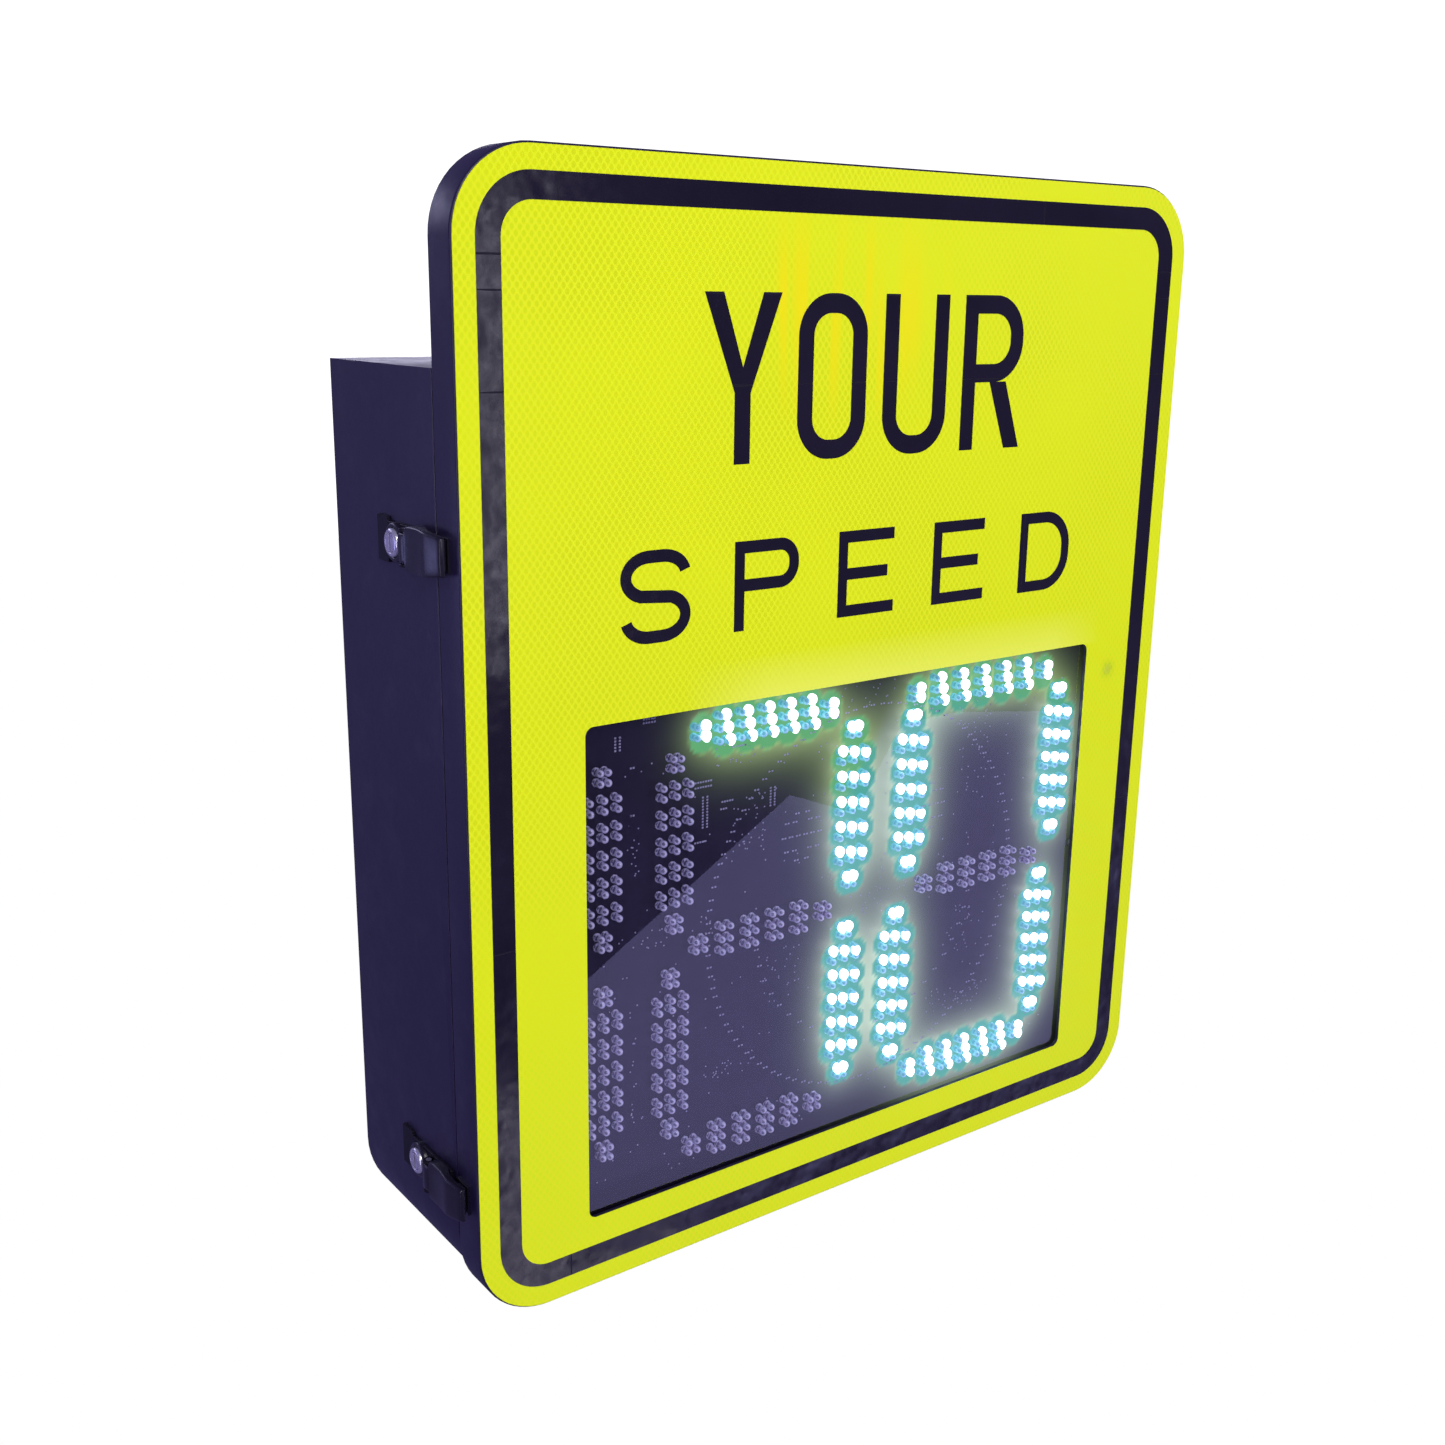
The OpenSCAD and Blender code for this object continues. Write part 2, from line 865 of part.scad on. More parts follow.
module border_stripe() {
  o = border_in;
  i = border_in + border_w;
  color("#201c2c")
  difference() {
    translate([0, 0, z_mid])
      slab(y_face - film_t, y_face) rrect(sign_w - 2 * o, sign_h - 2 * o, corner_r - o);
    translate([0, 0, z_mid])
      slab(y_face - 1, y_face + 1) rrect(sign_w - 2 * i, sign_h - 2 * i, corner_r - i);
  }
}

// ---------- legend letters, drawn with the lower left corner at the origin ----------
module ring(w, h, r, s) {
  translate([w / 2, h / 2])
    difference() {
      rrect(w, h, r);
      rrect(w - 2 * s, h - 2 * s, max(r - s, 0.5));
    }
}

module l_o(w, h, s) {
  ring(w, h, w * 0.42, s);
}

module l_u(w, h, s) {
  difference() {
    ring(w, h, w * 0.42, s);
    translate([-1, h / 2])
      square([w + 2, h]);
  }
  translate([0, h / 2 - 0.1])
    square([s, h / 2 + 0.1]);
  translate([w - s, h / 2 - 0.1])
    square([s, h / 2 + 0.1]);
}

module l_bowl(w, h, s) {
  difference() {
    ring(w, h, min(w * 0.42, h * 0.45), s);
    translate([-1, -1])
      square([w / 2 + 1, h + 2]);
  }
  square([w / 2 + 0.1, s]);
  translate([0, h - s])
    square([w / 2 + 0.1, s]);
}

module l_p(w, h, s) {
  square([s, h]);
  translate([0, h * 0.46])
    l_bowl(w, h * 0.54, s);
}

module l_r(w, h, s) {
  l_p(w, h, s);
  polygon([[w * 0.44, h * 0.46 + s * 0.5], [w * 0.44 + s * 1.15, h * 0.46 + s * 0.5],
           [w + s * 0.1, 0], [w - s * 1.05, 0]]);
}

module l_d(w, h, s) {
  square([s, h]);
  l_bowl(w, h, s);
}

module l_e(w, h, s) {
  square([s, h]);
  for (f = [0, 0.5, 1]) {
    translate([0, f * (h - s)])
      square([f == 0.5 ? w * 0.82 : w * 0.94, s]);
  }
}

module l_y(w, h, s) {
  translate([w / 2 - s / 2, 0])
    square([s, h * 0.44]);
  for (m = [0, 1]) {
    translate([w / 2, 0])
      mirror([m, 0])
        polygon([[-s / 2, h * 0.43], [s / 2, h * 0.43], [w / 2 + s * 0.1, h],
                 [w / 2 - s * 1.1, h], [0, h * 0.56], [-s / 2, h * 0.5]]);
  }
}

module l_s(w, h, s) {
  hh = h / 2 + s / 2;
  rr = min(w * 0.42, hh * 0.48);
  difference() {
    translate([0, h - hh])
      ring(w, hh, rr, s);
    translate([w / 2, h - hh + s])
      square([w, hh * 0.36]);
    translate([w / 2, h - hh - 1])
      square([w, s + 2]);
  }
  difference() {
    ring(w, hh, rr, s);
    translate([-w / 2, hh - s - hh * 0.36])
      square([w, hh * 0.36]);
    translate([-w / 2, hh - s - 0.01])
      square([w, s + 2]);
  }
}

module legend_upper() {
  p = word1_w + word1_gap;
  color("#17141f")
  slab(y_face - film_t, y_face)
    translate([-2 * p + word1_gap / 2, z_top - word1_z - word1_h / 2]) {
      l_y(word1_w, word1_h, word1_s);
      translate([p, 0]) l_o(word1_w, word1_h, word1_s);
      translate([2 * p, 0]) l_u(word1_w, word1_h, word1_s);
      translate([3 * p, 0]) l_r(word1_w, word1_h, word1_s);
    }
}

module legend_lower() {
  p = word2_w + word2_gap;
  color("#17141f")
  slab(y_face - film_t, y_face)
    translate([-2.5 * p + word2_gap / 2, z_top - word2_z - word2_h / 2]) {
      l_s(word2_w, word2_h, word2_s);
      translate([p, 0]) l_p(word2_w, word2_h, word2_s);
      translate([2 * p, 0]) l_e(word2_w, word2_h, word2_s);
      translate([3 * p, 0]) l_e(word2_w, word2_h, word2_s);
      translate([4 * p, 0]) l_d(word2_w, word2_h, word2_s);
    }
}

// ---------- display ----------
module window_pane() {
  y0 = y_plate + pan_t + 1;
  color("#b8c4d8", 0.35)
  slab(y0, y0 + pane_t)
    translate([win_x, win_c])
      rrect(win_w + 2 * pane_lap, win_h + 2 * pane_lap, 8);
}

module window_tape() {
  y0 = y_plate + pan_t;
  color("#101014")
  difference() {
    slab(y0, y0 + 1)
      translate([win_x, win_c])
        rrect(win_w + 2 * pane_lap, win_h + 2 * pane_lap, 8);
    slab(y0 - 1, y0 + 2)
      translate([win_x, win_c])
        rrect(win_w + 1, win_h + 1, win_r + 0.5);
  }
}

function stud_xz() = [
  [-242, 184.5], [0, 184.5], [242, 184.5], [-242, 0], [242, 0],
  [-242, -184.5], [0, -184.5], [242, -184.5]
];

module led_board() {
  color("#14111c")
  difference() {
    slab(y_board, y_board + board_t)
      translate([0, win_c])
        rrect(500, 380, 5);
    for (p = stud_xz()) {
      rod_y(p[0], y_board - 1, y_board + 3, win_c + p[1], 2.1);
    }
  }
}

module board_standoffs() {
  color("#c6c8cc")
  for (p = stud_xz()) {
    rod_y(p[0], y_plate + pan_t, y_board, win_c + p[1], 4);
    rod_y(p[0], y_board - 1, y_board + 6, win_c + p[1], 2);
    translate([p[0], y_board + board_t, win_c + p[1]])
      rotate([-90, 0, 0])
        cylinder(h = 3.2, r = 4, $fn = 6);
  }
}

module led_driver_parts() {
  y0 = y_board + board_t;
  color("#24262b")
  translate([0, 0, win_c]) {
    for (x = [-180, -60, 60, 180], z = [-60, 60]) {
      box(x - 9, x + 9, y0, y0 + 2.2, z - 6, z + 6);
    }
    box(-24, 24, y0, y0 + 7.5, -140, -126);
    box(170, 210, y0, y0 + 7, 120, 136);
    for (x = [-120, -100, 100, 120]) {
      rod_y(x, y0, y0 + 7.5, 100, 4);
    }
  }
}

// Two emitters side by side on the board, one above the other if upright is true.
module emitter_pair(x, z, upright) {
  dx = upright ? 0 : led_pair / 2;
  dz = upright ? led_pair / 2 : 0;
  for (s = [-1, 1]) {
    rod_y(x + s * dx, y_led, y_board, z + s * dz, led_w / 2);
  }
}

// Four emitters close together, as at the ends of every segment.
module emitter_end(x, z) {
  for (s = [-1, 1]) {
    emitter_pair(x + s * 3, z, true);
  }
}

module seg_v(cx, cz) {
  for (i = [-2:2], j = [-1:1]) {
    emitter_pair(cx + j * pitch_b, cz + i * pitch_a, true);
  }
  for (s = [-1, 1]) {
    emitter_end(cx, cz + s * 3 * pitch_a);
  }
}

module seg_h(cx, cz, columns, l) {
  step = l / (columns + 1);
  for (i = [1:columns], j = [-1:1]) {
    emitter_pair(cx - l / 2 + i * step, cz + j * pitch_c, false);
  }
  for (s = [-1, 1]) {
    emitter_end(cx + s * l / 2, cz);
  }
}

// Columns, lengths and offsets of the lowest, middle and top bars.
// The last list offsets the lower and upper strokes.
module digit(cx, columns, l, bars_dx, strokes_dx) {
  for (sx = [-1, 1], k = [0, 1]) {
    seg_v(cx + sx * stroke_x + strokes_dx[k], dig_c + (2 * k - 1) * seg_half);
  }
  for (k = [-1, 0, 1]) {
    seg_h(cx + bars_dx[k + 1], dig_c + k * bar_half, columns[k + 1], l[k + 1]);
  }
}

module leds_hundreds() {
  color("#9a97b8")
  for (sz = [-1, 1]) {
    seg_v(hundreds_x, dig_c + sz * seg_half);
  }
}

module leds_tens() {
  color("#9a97b8")
  digit(tens_x, [4, 4, 5], [bar_tens, bar_tens, bar_tens], [tens_bar_dx, 0, 0], [tens_low_dx, up_dx]);
}

module leds_units() {
  color("#9a97b8")
  digit(units_x, [5, 4, 5], [bar_low, 6 * pitch_a, bar_top], [units_bar_dx, 0, units_bar_dx],
        [units_low_dx, up_dx]);
}

// ---------- sensors in the door ----------
module radar_module() {
  y0 = y_plate + pan_t;
  color("#3a3d44")
  union() {
    slab(y0, y0 + 16)
      translate([215, z_top - 150])
        rrect(78, 98, 5);
    slab(y0 - 2, y0)
      translate([215, z_top - 150])
        rrect(59, 79, 4);
  }
}

module light_sensor() {
  color("#0d0d12")
  union() {
    rod_y(253, y_face + 0.8, y_plate + pan_t, z_top - 359, 3.5);
    rod_y(253, y_plate + pan_t, y_plate + pan_t + 11, z_top - 359, 5.5);
  }
}

cabinet_back();
cabinet_left();
cabinet_right();
cabinet_top();
cabinet_floor();
cabinet_flange();
cabinet_gasket();
backing_bars();
equipment_panel();
panel_standoffs();
charge_controller();
charge_terminals();
control_board();
control_parts();
terminal_block();
fuse_holder();
switch_housing();
switch_rocker();
battery();
battery_posts();
battery_tray();
battery_strap();
battery_leads();
solar_gland();
gland_locknut();
vent_plug();
hinge_leaf_cabinet();
hinge_pin();
latch_base_upper();
latch_pin_upper();
lock_housing_upper();
latch_base_lower();
latch_pin_lower();
lock_housing_lower();
latch_lever_upper();
latch_lever_lower();
lock_plug_upper();
lock_plug_lower();
lock_cam_upper();
lock_cam_lower();
door_pan();
door_back_panel();
sign_sheet();
border_stripe();
legend_upper();
legend_lower();
window_pane();
window_tape();
led_board();
board_standoffs();
led_driver_parts();
leds_hundreds();
leds_tens();
leds_units();
radar_module();
light_sensor();
hinge_leaf_door();
keeper_upper();
keeper_lower();
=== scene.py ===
"""Looks of a radar speed sign head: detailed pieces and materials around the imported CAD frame.

Row frame, metres: +Z up, the sign face looks along -Y, +X to the right seen from the front.
"""

import itertools
import json
import math
import random

import bmesh
import bpy
from mathutils import Matrix, Vector
from mathutils.geometry import tessellate_polygon


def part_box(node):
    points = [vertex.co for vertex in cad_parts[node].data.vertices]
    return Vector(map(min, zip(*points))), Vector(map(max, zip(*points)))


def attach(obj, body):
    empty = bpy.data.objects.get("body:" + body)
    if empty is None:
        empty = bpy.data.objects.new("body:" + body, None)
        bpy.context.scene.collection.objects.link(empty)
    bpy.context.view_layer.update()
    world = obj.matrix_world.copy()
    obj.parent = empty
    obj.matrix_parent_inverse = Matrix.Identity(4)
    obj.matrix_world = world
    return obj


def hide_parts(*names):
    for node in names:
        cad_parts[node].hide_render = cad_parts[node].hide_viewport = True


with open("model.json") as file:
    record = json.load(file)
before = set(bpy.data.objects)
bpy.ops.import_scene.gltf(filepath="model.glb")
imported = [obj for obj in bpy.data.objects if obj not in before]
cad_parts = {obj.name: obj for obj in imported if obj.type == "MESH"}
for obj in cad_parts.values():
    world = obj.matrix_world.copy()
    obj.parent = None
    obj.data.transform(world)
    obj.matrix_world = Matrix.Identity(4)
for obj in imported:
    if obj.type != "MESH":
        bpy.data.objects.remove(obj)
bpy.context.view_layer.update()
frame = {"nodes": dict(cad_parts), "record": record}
random.seed(24)

MM = 0.001

# ---------------- sizes from the frame


def middle(node):
    """The middle of a CAD node's box."""
    lo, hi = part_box(node)
    return (lo + hi) / 2


PAN_LO, PAN_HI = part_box("door_pan")
SHEET_LO, SHEET_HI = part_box("sign_sheet")
PANE_LO, PANE_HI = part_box("window_pane")
BOARD_LO, BOARD_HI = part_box("led_board")
CAB_LO, CAB_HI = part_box("cabinet_back")
FACE_Y = SHEET_LO.y
BOARD_Y = BOARD_LO.y
SEAM_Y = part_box("cabinet_top")[0].y
HALF_W = PAN_HI.x
PANE_LAP = 10 * MM
WIN_C = middle("window_pane")
WIN_W = PANE_HI.x - PANE_LO.x - 2 * PANE_LAP
WIN_H = PANE_HI.z - PANE_LO.z - 2 * PANE_LAP
WIN_R = 6 * MM
SENSOR = middle("light_sensor")

# Seal lines of the prismatic sheeting, per metre across and up.
LATTICE_X, LATTICE_Z = 202.0, 147.0

# ---------------- materials


class Shader:
    """A Principled material and short ways to wire nodes into it."""

    def __init__(self, name, base, rough, metallic=0.0, **sockets):
        self.mat = bpy.data.materials.new(name)
        self.mat.use_nodes = True
        self.tree = self.mat.node_tree
        self.bsdf = self.tree.nodes["Principled BSDF"]
        self.coords = self.node("ShaderNodeTexCoord").outputs
        self.give(Base_Color=tuple(base), Roughness=rough, Metallic=metallic, **sockets)

    def feed(self, socket, value):
        """Links a node's output to a socket, or sets the socket to a number or a colour."""
        if isinstance(value, bpy.types.NodeSocket):
            self.tree.links.new(value, socket)
        elif socket.type == "RGBA":
            socket.default_value = (value + (1.0,))[:4]
        else:
            socket.default_value = value

    def give(self, **sockets):
        """Feeds the Principled shader's sockets, named with _ for a space."""
        for key, value in sockets.items():
            self.feed(self.bsdf.inputs[key.replace("_", " ")], value)

    def node(self, kind, inputs=(), **props):
        n = self.tree.nodes.new(kind)
        for key, value in props.items():
            setattr(n, key, value)
        for key, value in dict(inputs).items():
            self.feed(n.inputs[key], value)
        return n

    def noise(self, scale, detail=3.0, roughness=0.55, stretch=None):
        place_on = self.coords["Object"]
        if stretch:
            place_on = self.node("ShaderNodeMapping", {"Vector": place_on, "Scale": stretch}).outputs[0]
        return self.node("ShaderNodeTexNoise", {"Vector": place_on, "Scale": scale, "Detail": detail,
                                                "Roughness": roughness}).outputs["Fac"]

    def math(self, op, a, b=0.0, clamp=False):
        return self.node("ShaderNodeMath", {0: a, 1: b}, operation=op, use_clamp=clamp).outputs[0]

    def times(self, a, b):
        return self.math("MULTIPLY", a, b)

    def plus(self, a, b):
        return self.math("ADD", a, b)

    def less(self, a, b):
        return self.math("SUBTRACT", a, b)

    def remap(self, value, lo, hi, to_lo, to_hi):
        return self.node("ShaderNodeMapRange", {"Value": value, "From Min": lo, "From Max": hi,
                                                "To Min": to_lo, "To Max": to_hi}).outputs["Result"]

    def speckle(self, scale, detail, to_lo, to_hi, roughness=0.55, lo=0.3, hi=0.7):
        """Noise stretched over a range."""
        return self.remap(self.noise(scale, detail, roughness), lo, hi, to_lo, to_hi)

    def mix(self, fac, a, b):
        return self.node("ShaderNodeMix", {0: fac, 6: a, 7: b}, data_type="RGBA").outputs[2]

    def bump(self, height, strength, distance):
        """Adds a bump on top of those already there."""
        inputs = {"Height": height, "Strength": strength, "Distance": distance}
        if self.bsdf.inputs["Normal"].links:
            inputs["Normal"] = self.bsdf.inputs["Normal"].links[0].from_socket
        self.give(Normal=self.node("ShaderNodeBump", inputs).outputs["Normal"])

    def attribute(self, name):
        return self.node("ShaderNodeAttribute", attribute_name=name).outputs

    def ramp(self, value, stops):
        n = self.node("ShaderNodeValToRGB", {"Fac": value})
        ramp = n.color_ramp
        while len(ramp.elements) < len(stops):
            ramp.elements.new(0.5)
        for e, (pos, col) in zip(ramp.elements, stops):
            e.position = pos
            e.color = col + (1.0,)
        return n.outputs["Color"]


def tinted(color, gain):
    """A colour made lighter or darker."""
    return tuple(min(1.0, c * gain) for c in color)


def weathered(name, base, rough, grain=900.0, grain_depth=0.03, spread=0.16, dust=0.0, **sockets):
    """A finish with soft colour drift, fine grain, uneven gloss and a little dust."""
    s = Shader(name, base, rough, **sockets)
    light = tuple(min(1.0, c * (1 + spread) + 0.004) for c in base)
    col = s.mix(s.speckle(5.0, 4.0, 0.0, 1.0), tinted(base, 1 - spread), light)
    if dust:
        col = s.mix(s.speckle(38.0, 6.0, 0.0, dust, 0.7, 0.52, 0.8), col, (0.30, 0.28, 0.30))
    s.give(Base_Color=col, Roughness=s.speckle(60.0, 5.0, rough - 0.08, rough + 0.08, 0.65))
    s.bump(s.noise(grain, 2.0), 0.35, grain_depth * MM)
    return s


def powder_coat(name, base):
    """Satin powder coat: orange-peel texture, faint scuffs and a slightly paler bloom."""
    s = weathered(name, base, 0.42, grain=620.0, grain_depth=0.05, spread=0.10, dust=0.05,
                  Coat_Weight=0.15, Coat_Roughness=0.35)
    s.bump(s.noise(210.0, 3.0, 0.5), 0.25, 0.10 * MM)
    scuff = s.noise(90.0, 8.0, 0.8, stretch=(1.0, 0.25, 3.0))
    s.bump(s.remap(scuff, 0.66, 0.72, 0.0, 1.0), 0.12, 0.03 * MM)
    return s


def prism_sheet(name):
    """Fluorescent yellow-green prismatic sheeting: a close lattice of sealed cells with faint bands."""
    base = (0.790, 0.880, 0.008)
    s = Shader(name, base, 0.34, Specular_IOR_Level=0.16, Coat_Weight=0.06, Coat_Roughness=0.16)
    x, _, z = s.node("ShaderNodeSeparateXYZ", {0: s.coords["Object"]}).outputs
    # Two families of seal lines, one cell 5 mm wide and 6.8 mm tall.
    cells = []
    for slope in (LATTICE_Z, -LATTICE_Z):
        wave = s.math("FRACT", s.plus(s.times(x, LATTICE_X), s.times(z, slope)))
        cells.append(s.math("ABSOLUTE", s.less(wave, 0.5)))
    seal = s.remap(s.math("MAXIMUM", *cells), 0.36, 0.49, 0.0, 1.0)
    pit = s.times(s.less(0.5, cells[0]), s.less(0.5, cells[1]))
    # The lattice shows more in some places than in others.
    show = s.speckle(7.0, 3.0, 0.55, 1.0, lo=0.35, hi=0.65)
    col = s.mix(s.times(s.remap(pit, 0.006, 0.085, 0.0, 0.90), show), base, (0.650, 0.725, 0.006))
    col = s.mix(s.times(s.times(seal, 0.50), show), col, (0.86, 0.93, 0.030))
    # The sheet is darker in a soft olive patch round the light sensor.
    sx, sz = s.less(x, SENSOR.x), s.less(z, SENSOR.z)
    far = s.math("SQRT", s.plus(s.times(sx, sx), s.times(sz, sz)))
    sensor_patch = s.remap(s.plus(far, s.speckle(160.0, 3.0, -0.0012, 0.0012)), 0.0030, 0.0095, 0.60, 0.0)
    col = s.mix(sensor_patch, col, (0.42, 0.51, 0.020))
    # Tall soft streaks of deeper yellow, high up near the middle, where the prisms throw light back unevenly.
    streaks = s.noise(46.0, 3.0, 0.6, stretch=(1.0, 1.0, 0.045))
    dx, dz = s.times(s.plus(x, 0.030), 8.5), s.times(s.less(z, 0.335), 13.0)
    near = s.less(1.0, s.math("SQRT", s.plus(s.times(dx, dx), s.times(dz, dz))))
    streaks = s.times(s.remap(streaks, 0.50, 0.64, 0.0, 2.2), s.math("MAXIMUM", near, 0.0))
    col = s.mix(s.math("MINIMUM", streaks, 1.0), col, (0.90, 0.78, 0.004))
    col = s.mix(s.speckle(3.2, 3.0, 0.0, 0.20, lo=0.35, hi=0.7), col, (0.66, 0.79, 0.008))
    # Painted shade: the sheet grows darker towards the bottom.
    col = s.mix(s.remap(z, -0.28, 0.15, 0.35, 0.0), col, (0.66, 0.77, 0.008))
    # A pale bloom from the lit digits, just above the window.
    top = WIN_C.z + WIN_H / 2
    bloom = s.times(s.remap(z, top, top + 0.030, 0.55, 0.0), s.math("GREATER_THAN", z, top))
    bloom = s.times(s.times(bloom, s.remap(x, -0.15, -0.08, 0.0, 1.0)), s.remap(x, 0.19, 0.24, 1.0, 0.0))
    col = s.mix(bloom, col, (0.90, 0.95, 0.16))
    # Fluorescence: part of the colour is given back as light of its own.
    s.give(Base_Color=col, Roughness=s.speckle(24.0, 4.0, 0.28, 0.42), Emission_Color=col,
           Emission_Strength=0.385)
    s.bump(pit, 0.30, 0.05 * MM)
    s.bump(s.noise(14.0, 2.0), 0.08, 0.5 * MM)
    return s


# Where the border film is butt-jointed: axis and place.
FILM_SEAMS = (("Z", 0.344), ("Z", 0.363), ("Z", 0.289), ("Z", -0.046), ("X", -0.238), ("X", 0.150))


def film(name):
    """Glossy black overlay film: slightly wavy, with a few butt seams between its strips."""
    s = Shader(name, (0.012, 0.009, 0.019), 0.14, Specular_IOR_Level=0.6)
    col = s.mix(s.speckle(7.0, 4.0, 0.0, 1.0), (0.008, 0.006, 0.014), (0.016, 0.012, 0.025))
    places = s.node("ShaderNodeSeparateXYZ", {0: s.coords["Object"]}).outputs
    seams = 0.0
    for axis, seam_at in FILM_SEAMS:
        gap = s.math("ABSOLUTE", s.less(places[axis], seam_at))
        line = s.math("LESS_THAN", s.plus(gap, s.speckle(60.0, 2.0, -0.0004, 0.0004)), 0.0005)
        seams = s.math("MAXIMUM", seams, line)
    smear = s.speckle(110.0, 5.0, 0.08, 0.22, 0.7, hi=0.75)
    s.give(Base_Color=s.mix(s.times(seams, 0.8), col, (0.004, 0.003, 0.008)),
           Roughness=s.plus(smear, s.times(seams, 0.4)))
    s.bump(s.noise(34.0, 2.0, 0.5), 0.55, 1.2 * MM)
    s.bump(seams, 0.4, -0.05 * MM)
    return s


def clear_pane(name):
    """A thin clear pane: mostly see-through, with its gloss and a faint smear of dust."""
    ior = 1.58
    s = Shader(name, (0.010, 0.008, 0.016), 0.035, IOR=ior)
    s.give(Roughness=s.speckle(9.0, 6.0, 0.02, 0.10, 0.7, hi=0.8))
    s.bump(s.noise(3.0, 2.0), 0.05, 1.5 * MM)
    # Only the outer faces reflect: seen from inside, the same rule would turn the pane into a mirror.
    outer = s.less(1.0, s.node("ShaderNodeNewGeometry").outputs["Backfacing"])
    shine = s.times(s.node("ShaderNodeFresnel", {"IOR": ior}).outputs[0], outer)
    clear = s.node("ShaderNodeBsdfTransparent", {"Color": (0.90, 0.90, 0.95)}).outputs[0]
    gloss = s.node("ShaderNodeBsdfAnisotropic", {"Color": (1.0, 1.0, 1.0), "Roughness": 0.008}).outputs[0]
    glass = s.node("ShaderNodeMixShader", {0: shine, 1: clear, 2: gloss}).outputs[0]
    # A trace of dust, which the Principled shader gives.
    dust = s.speckle(26.0, 6.0, 0.0, 0.03, 0.7, 0.5, 0.8)
    dusty = s.node("ShaderNodeMixShader", {0: dust, 1: glass, 2: s.bsdf.outputs[0]}).outputs[0]
    s.feed(s.tree.nodes["Material Output"].inputs["Surface"], dusty)
    return s


def board_black(name):
    """Black solder mask. The light that the lit LEDs throw on it is worked out per vertex."""
    s = Shader(name, (0.010, 0.006, 0.014), 0.38, Specular_IOR_Level=0.35,
               Emission_Strength=1.0)
    s.give(Base_Color=s.mix(s.speckle(16.0, 4.0, 0.0, 1.0), (0.008, 0.004, 0.011), (0.016, 0.011, 0.024)),
           Roughness=s.speckle(80.0, 3.0, 0.30, 0.48), Emission_Color=s.attribute("glow")["Color"])
    s.bump(s.noise(700.0, 2.0, stretch=(1.0, 1.0, 3.0)), 0.3, 0.03 * MM)
    return s


# The side of each LED, toward the front left and above, where the dark spots and outline are painted.
PAINTED_SPOT_SIDE = (-0.60, -0.72, 0.35)


def lens(name, stops, dark, glow_stops, dark_glow, strength):
    """A clear 5 mm LED with painted light and shade: bands along its length, dark spots in its tip and its
    side and a dark outline, as the clear lens looks from the front left.
    """
    s = Shader(name, (0.35, 0.33, 0.5), 0.12, Coat_Weight=0.5, Coat_Roughness=0.05)
    wobble = s.plus(s.attribute("ring")["Fac"], s.speckle(700.0, 2.0, -0.05, 0.05))
    # How far the surface, in the LED's own frame, is turned from the side that carries the painted dark
    # spots.
    toward = s.node("ShaderNodeVectorMath", {0: s.coords["Normal"], 1: PAINTED_SPOT_SIDE}, operation="DOT_PRODUCT")
    away = s.less(1.0, toward.outputs["Value"])
    facing = s.plus(away, s.speckle(900.0, 2.0, -0.05, 0.05))
    tip_spot = s.remap(facing, 0.06, 0.14, 0.9, 0.0)
    side = s.times(s.remap(wobble, 0.56, 0.63, 0.0, 1.0), s.remap(wobble, 0.78, 0.86, 1.0, 0.0))
    side_spot = s.times(s.remap(facing, 0.40, 0.50, 0.9, 0.0), side)
    # A painted dark outline round the part that faces the front left.
    rim = s.times(s.remap(facing, 0.80, 0.94, 0.0, 0.8), s.remap(facing, 1.05, 1.2, 1.0, 0.0))
    mask = s.math("MAXIMUM", s.math("MAXIMUM", tip_spot, side_spot), rim)
    s.give(Base_Color=s.mix(mask, s.ramp(wobble, stops), dark), Emission_Strength=strength,
           Emission_Color=s.mix(mask, s.ramp(wobble, glow_stops), dark_glow))
    s.bump(s.noise(600.0, 2.0), 0.15, 0.10 * MM)
    return s


def glow_core(name):
    """Painted glare: the white-hot middle of a lit LED."""
    s = Shader(name, (1.0, 1.0, 1.0), 0.2, Emission_Strength=2.6)
    hot = s.speckle(500.0, 1.0, 1.0, 1.25, lo=0.2, hi=0.8)
    s.give(Emission_Color=s.mix(s.times(hot, 0.5), (0.86, 1.0, 0.98), (1.0, 1.0, 1.0)))
    return s


def brushed(name, base, rough, stretch, metallic=1.0):
    """Plated or bare metal with fine drawn lines. stretch gives the lines their direction."""
    s = Shader(name, base, rough, metallic)
    lines = s.noise(260.0, 4.0, 0.6, stretch=stretch)
    s.give(Base_Color=s.mix(s.remap(lines, 0.3, 0.7, 0.0, 1.0), tinted(base, 0.82), tinted(base, 1.1)),
           Roughness=s.remap(lines, 0.3, 0.7, rough - 0.08, rough + 0.12))
    s.bump(lines, 0.2, 0.02 * MM)
    return s


def spangle(name, base):
    """Zinc-plated sheet: soft crystal patches, each with its own tone."""
    s = Shader(name, base, 0.42, 0.9)
    cell = s.node("ShaderNodeTexVoronoi", {"Vector": s.coords["Object"], "Scale": 95.0}).outputs["Distance"]
    tone = s.math("MULTIPLY", cell, 1.4, clamp=True)
    s.give(Base_Color=s.mix(tone, tinted(base, 0.78), tinted(base, 1.12)),
           Roughness=s.remap(tone, 0.0, 1.0, 0.32, 0.55))
    s.bump(s.noise(500.0, 2.0), 0.2, 0.02 * MM)
    return s


def webbing(name):
    """Woven strap: close dark bands across it."""
    s = Shader(name, (0.015, 0.015, 0.018), 0.85, Sheen_Weight=0.4)
    wave = s.node("ShaderNodeTexWave", {"Vector": s.coords["Object"], "Scale": 210.0, "Distortion": 1.2},
                  wave_type="BANDS", bands_direction="Z").outputs["Fac"]
    s.give(Base_Color=s.mix(wave, (0.010, 0.010, 0.012), (0.030, 0.030, 0.034)))
    s.bump(wave, 0.6, 0.25 * MM)
    return s
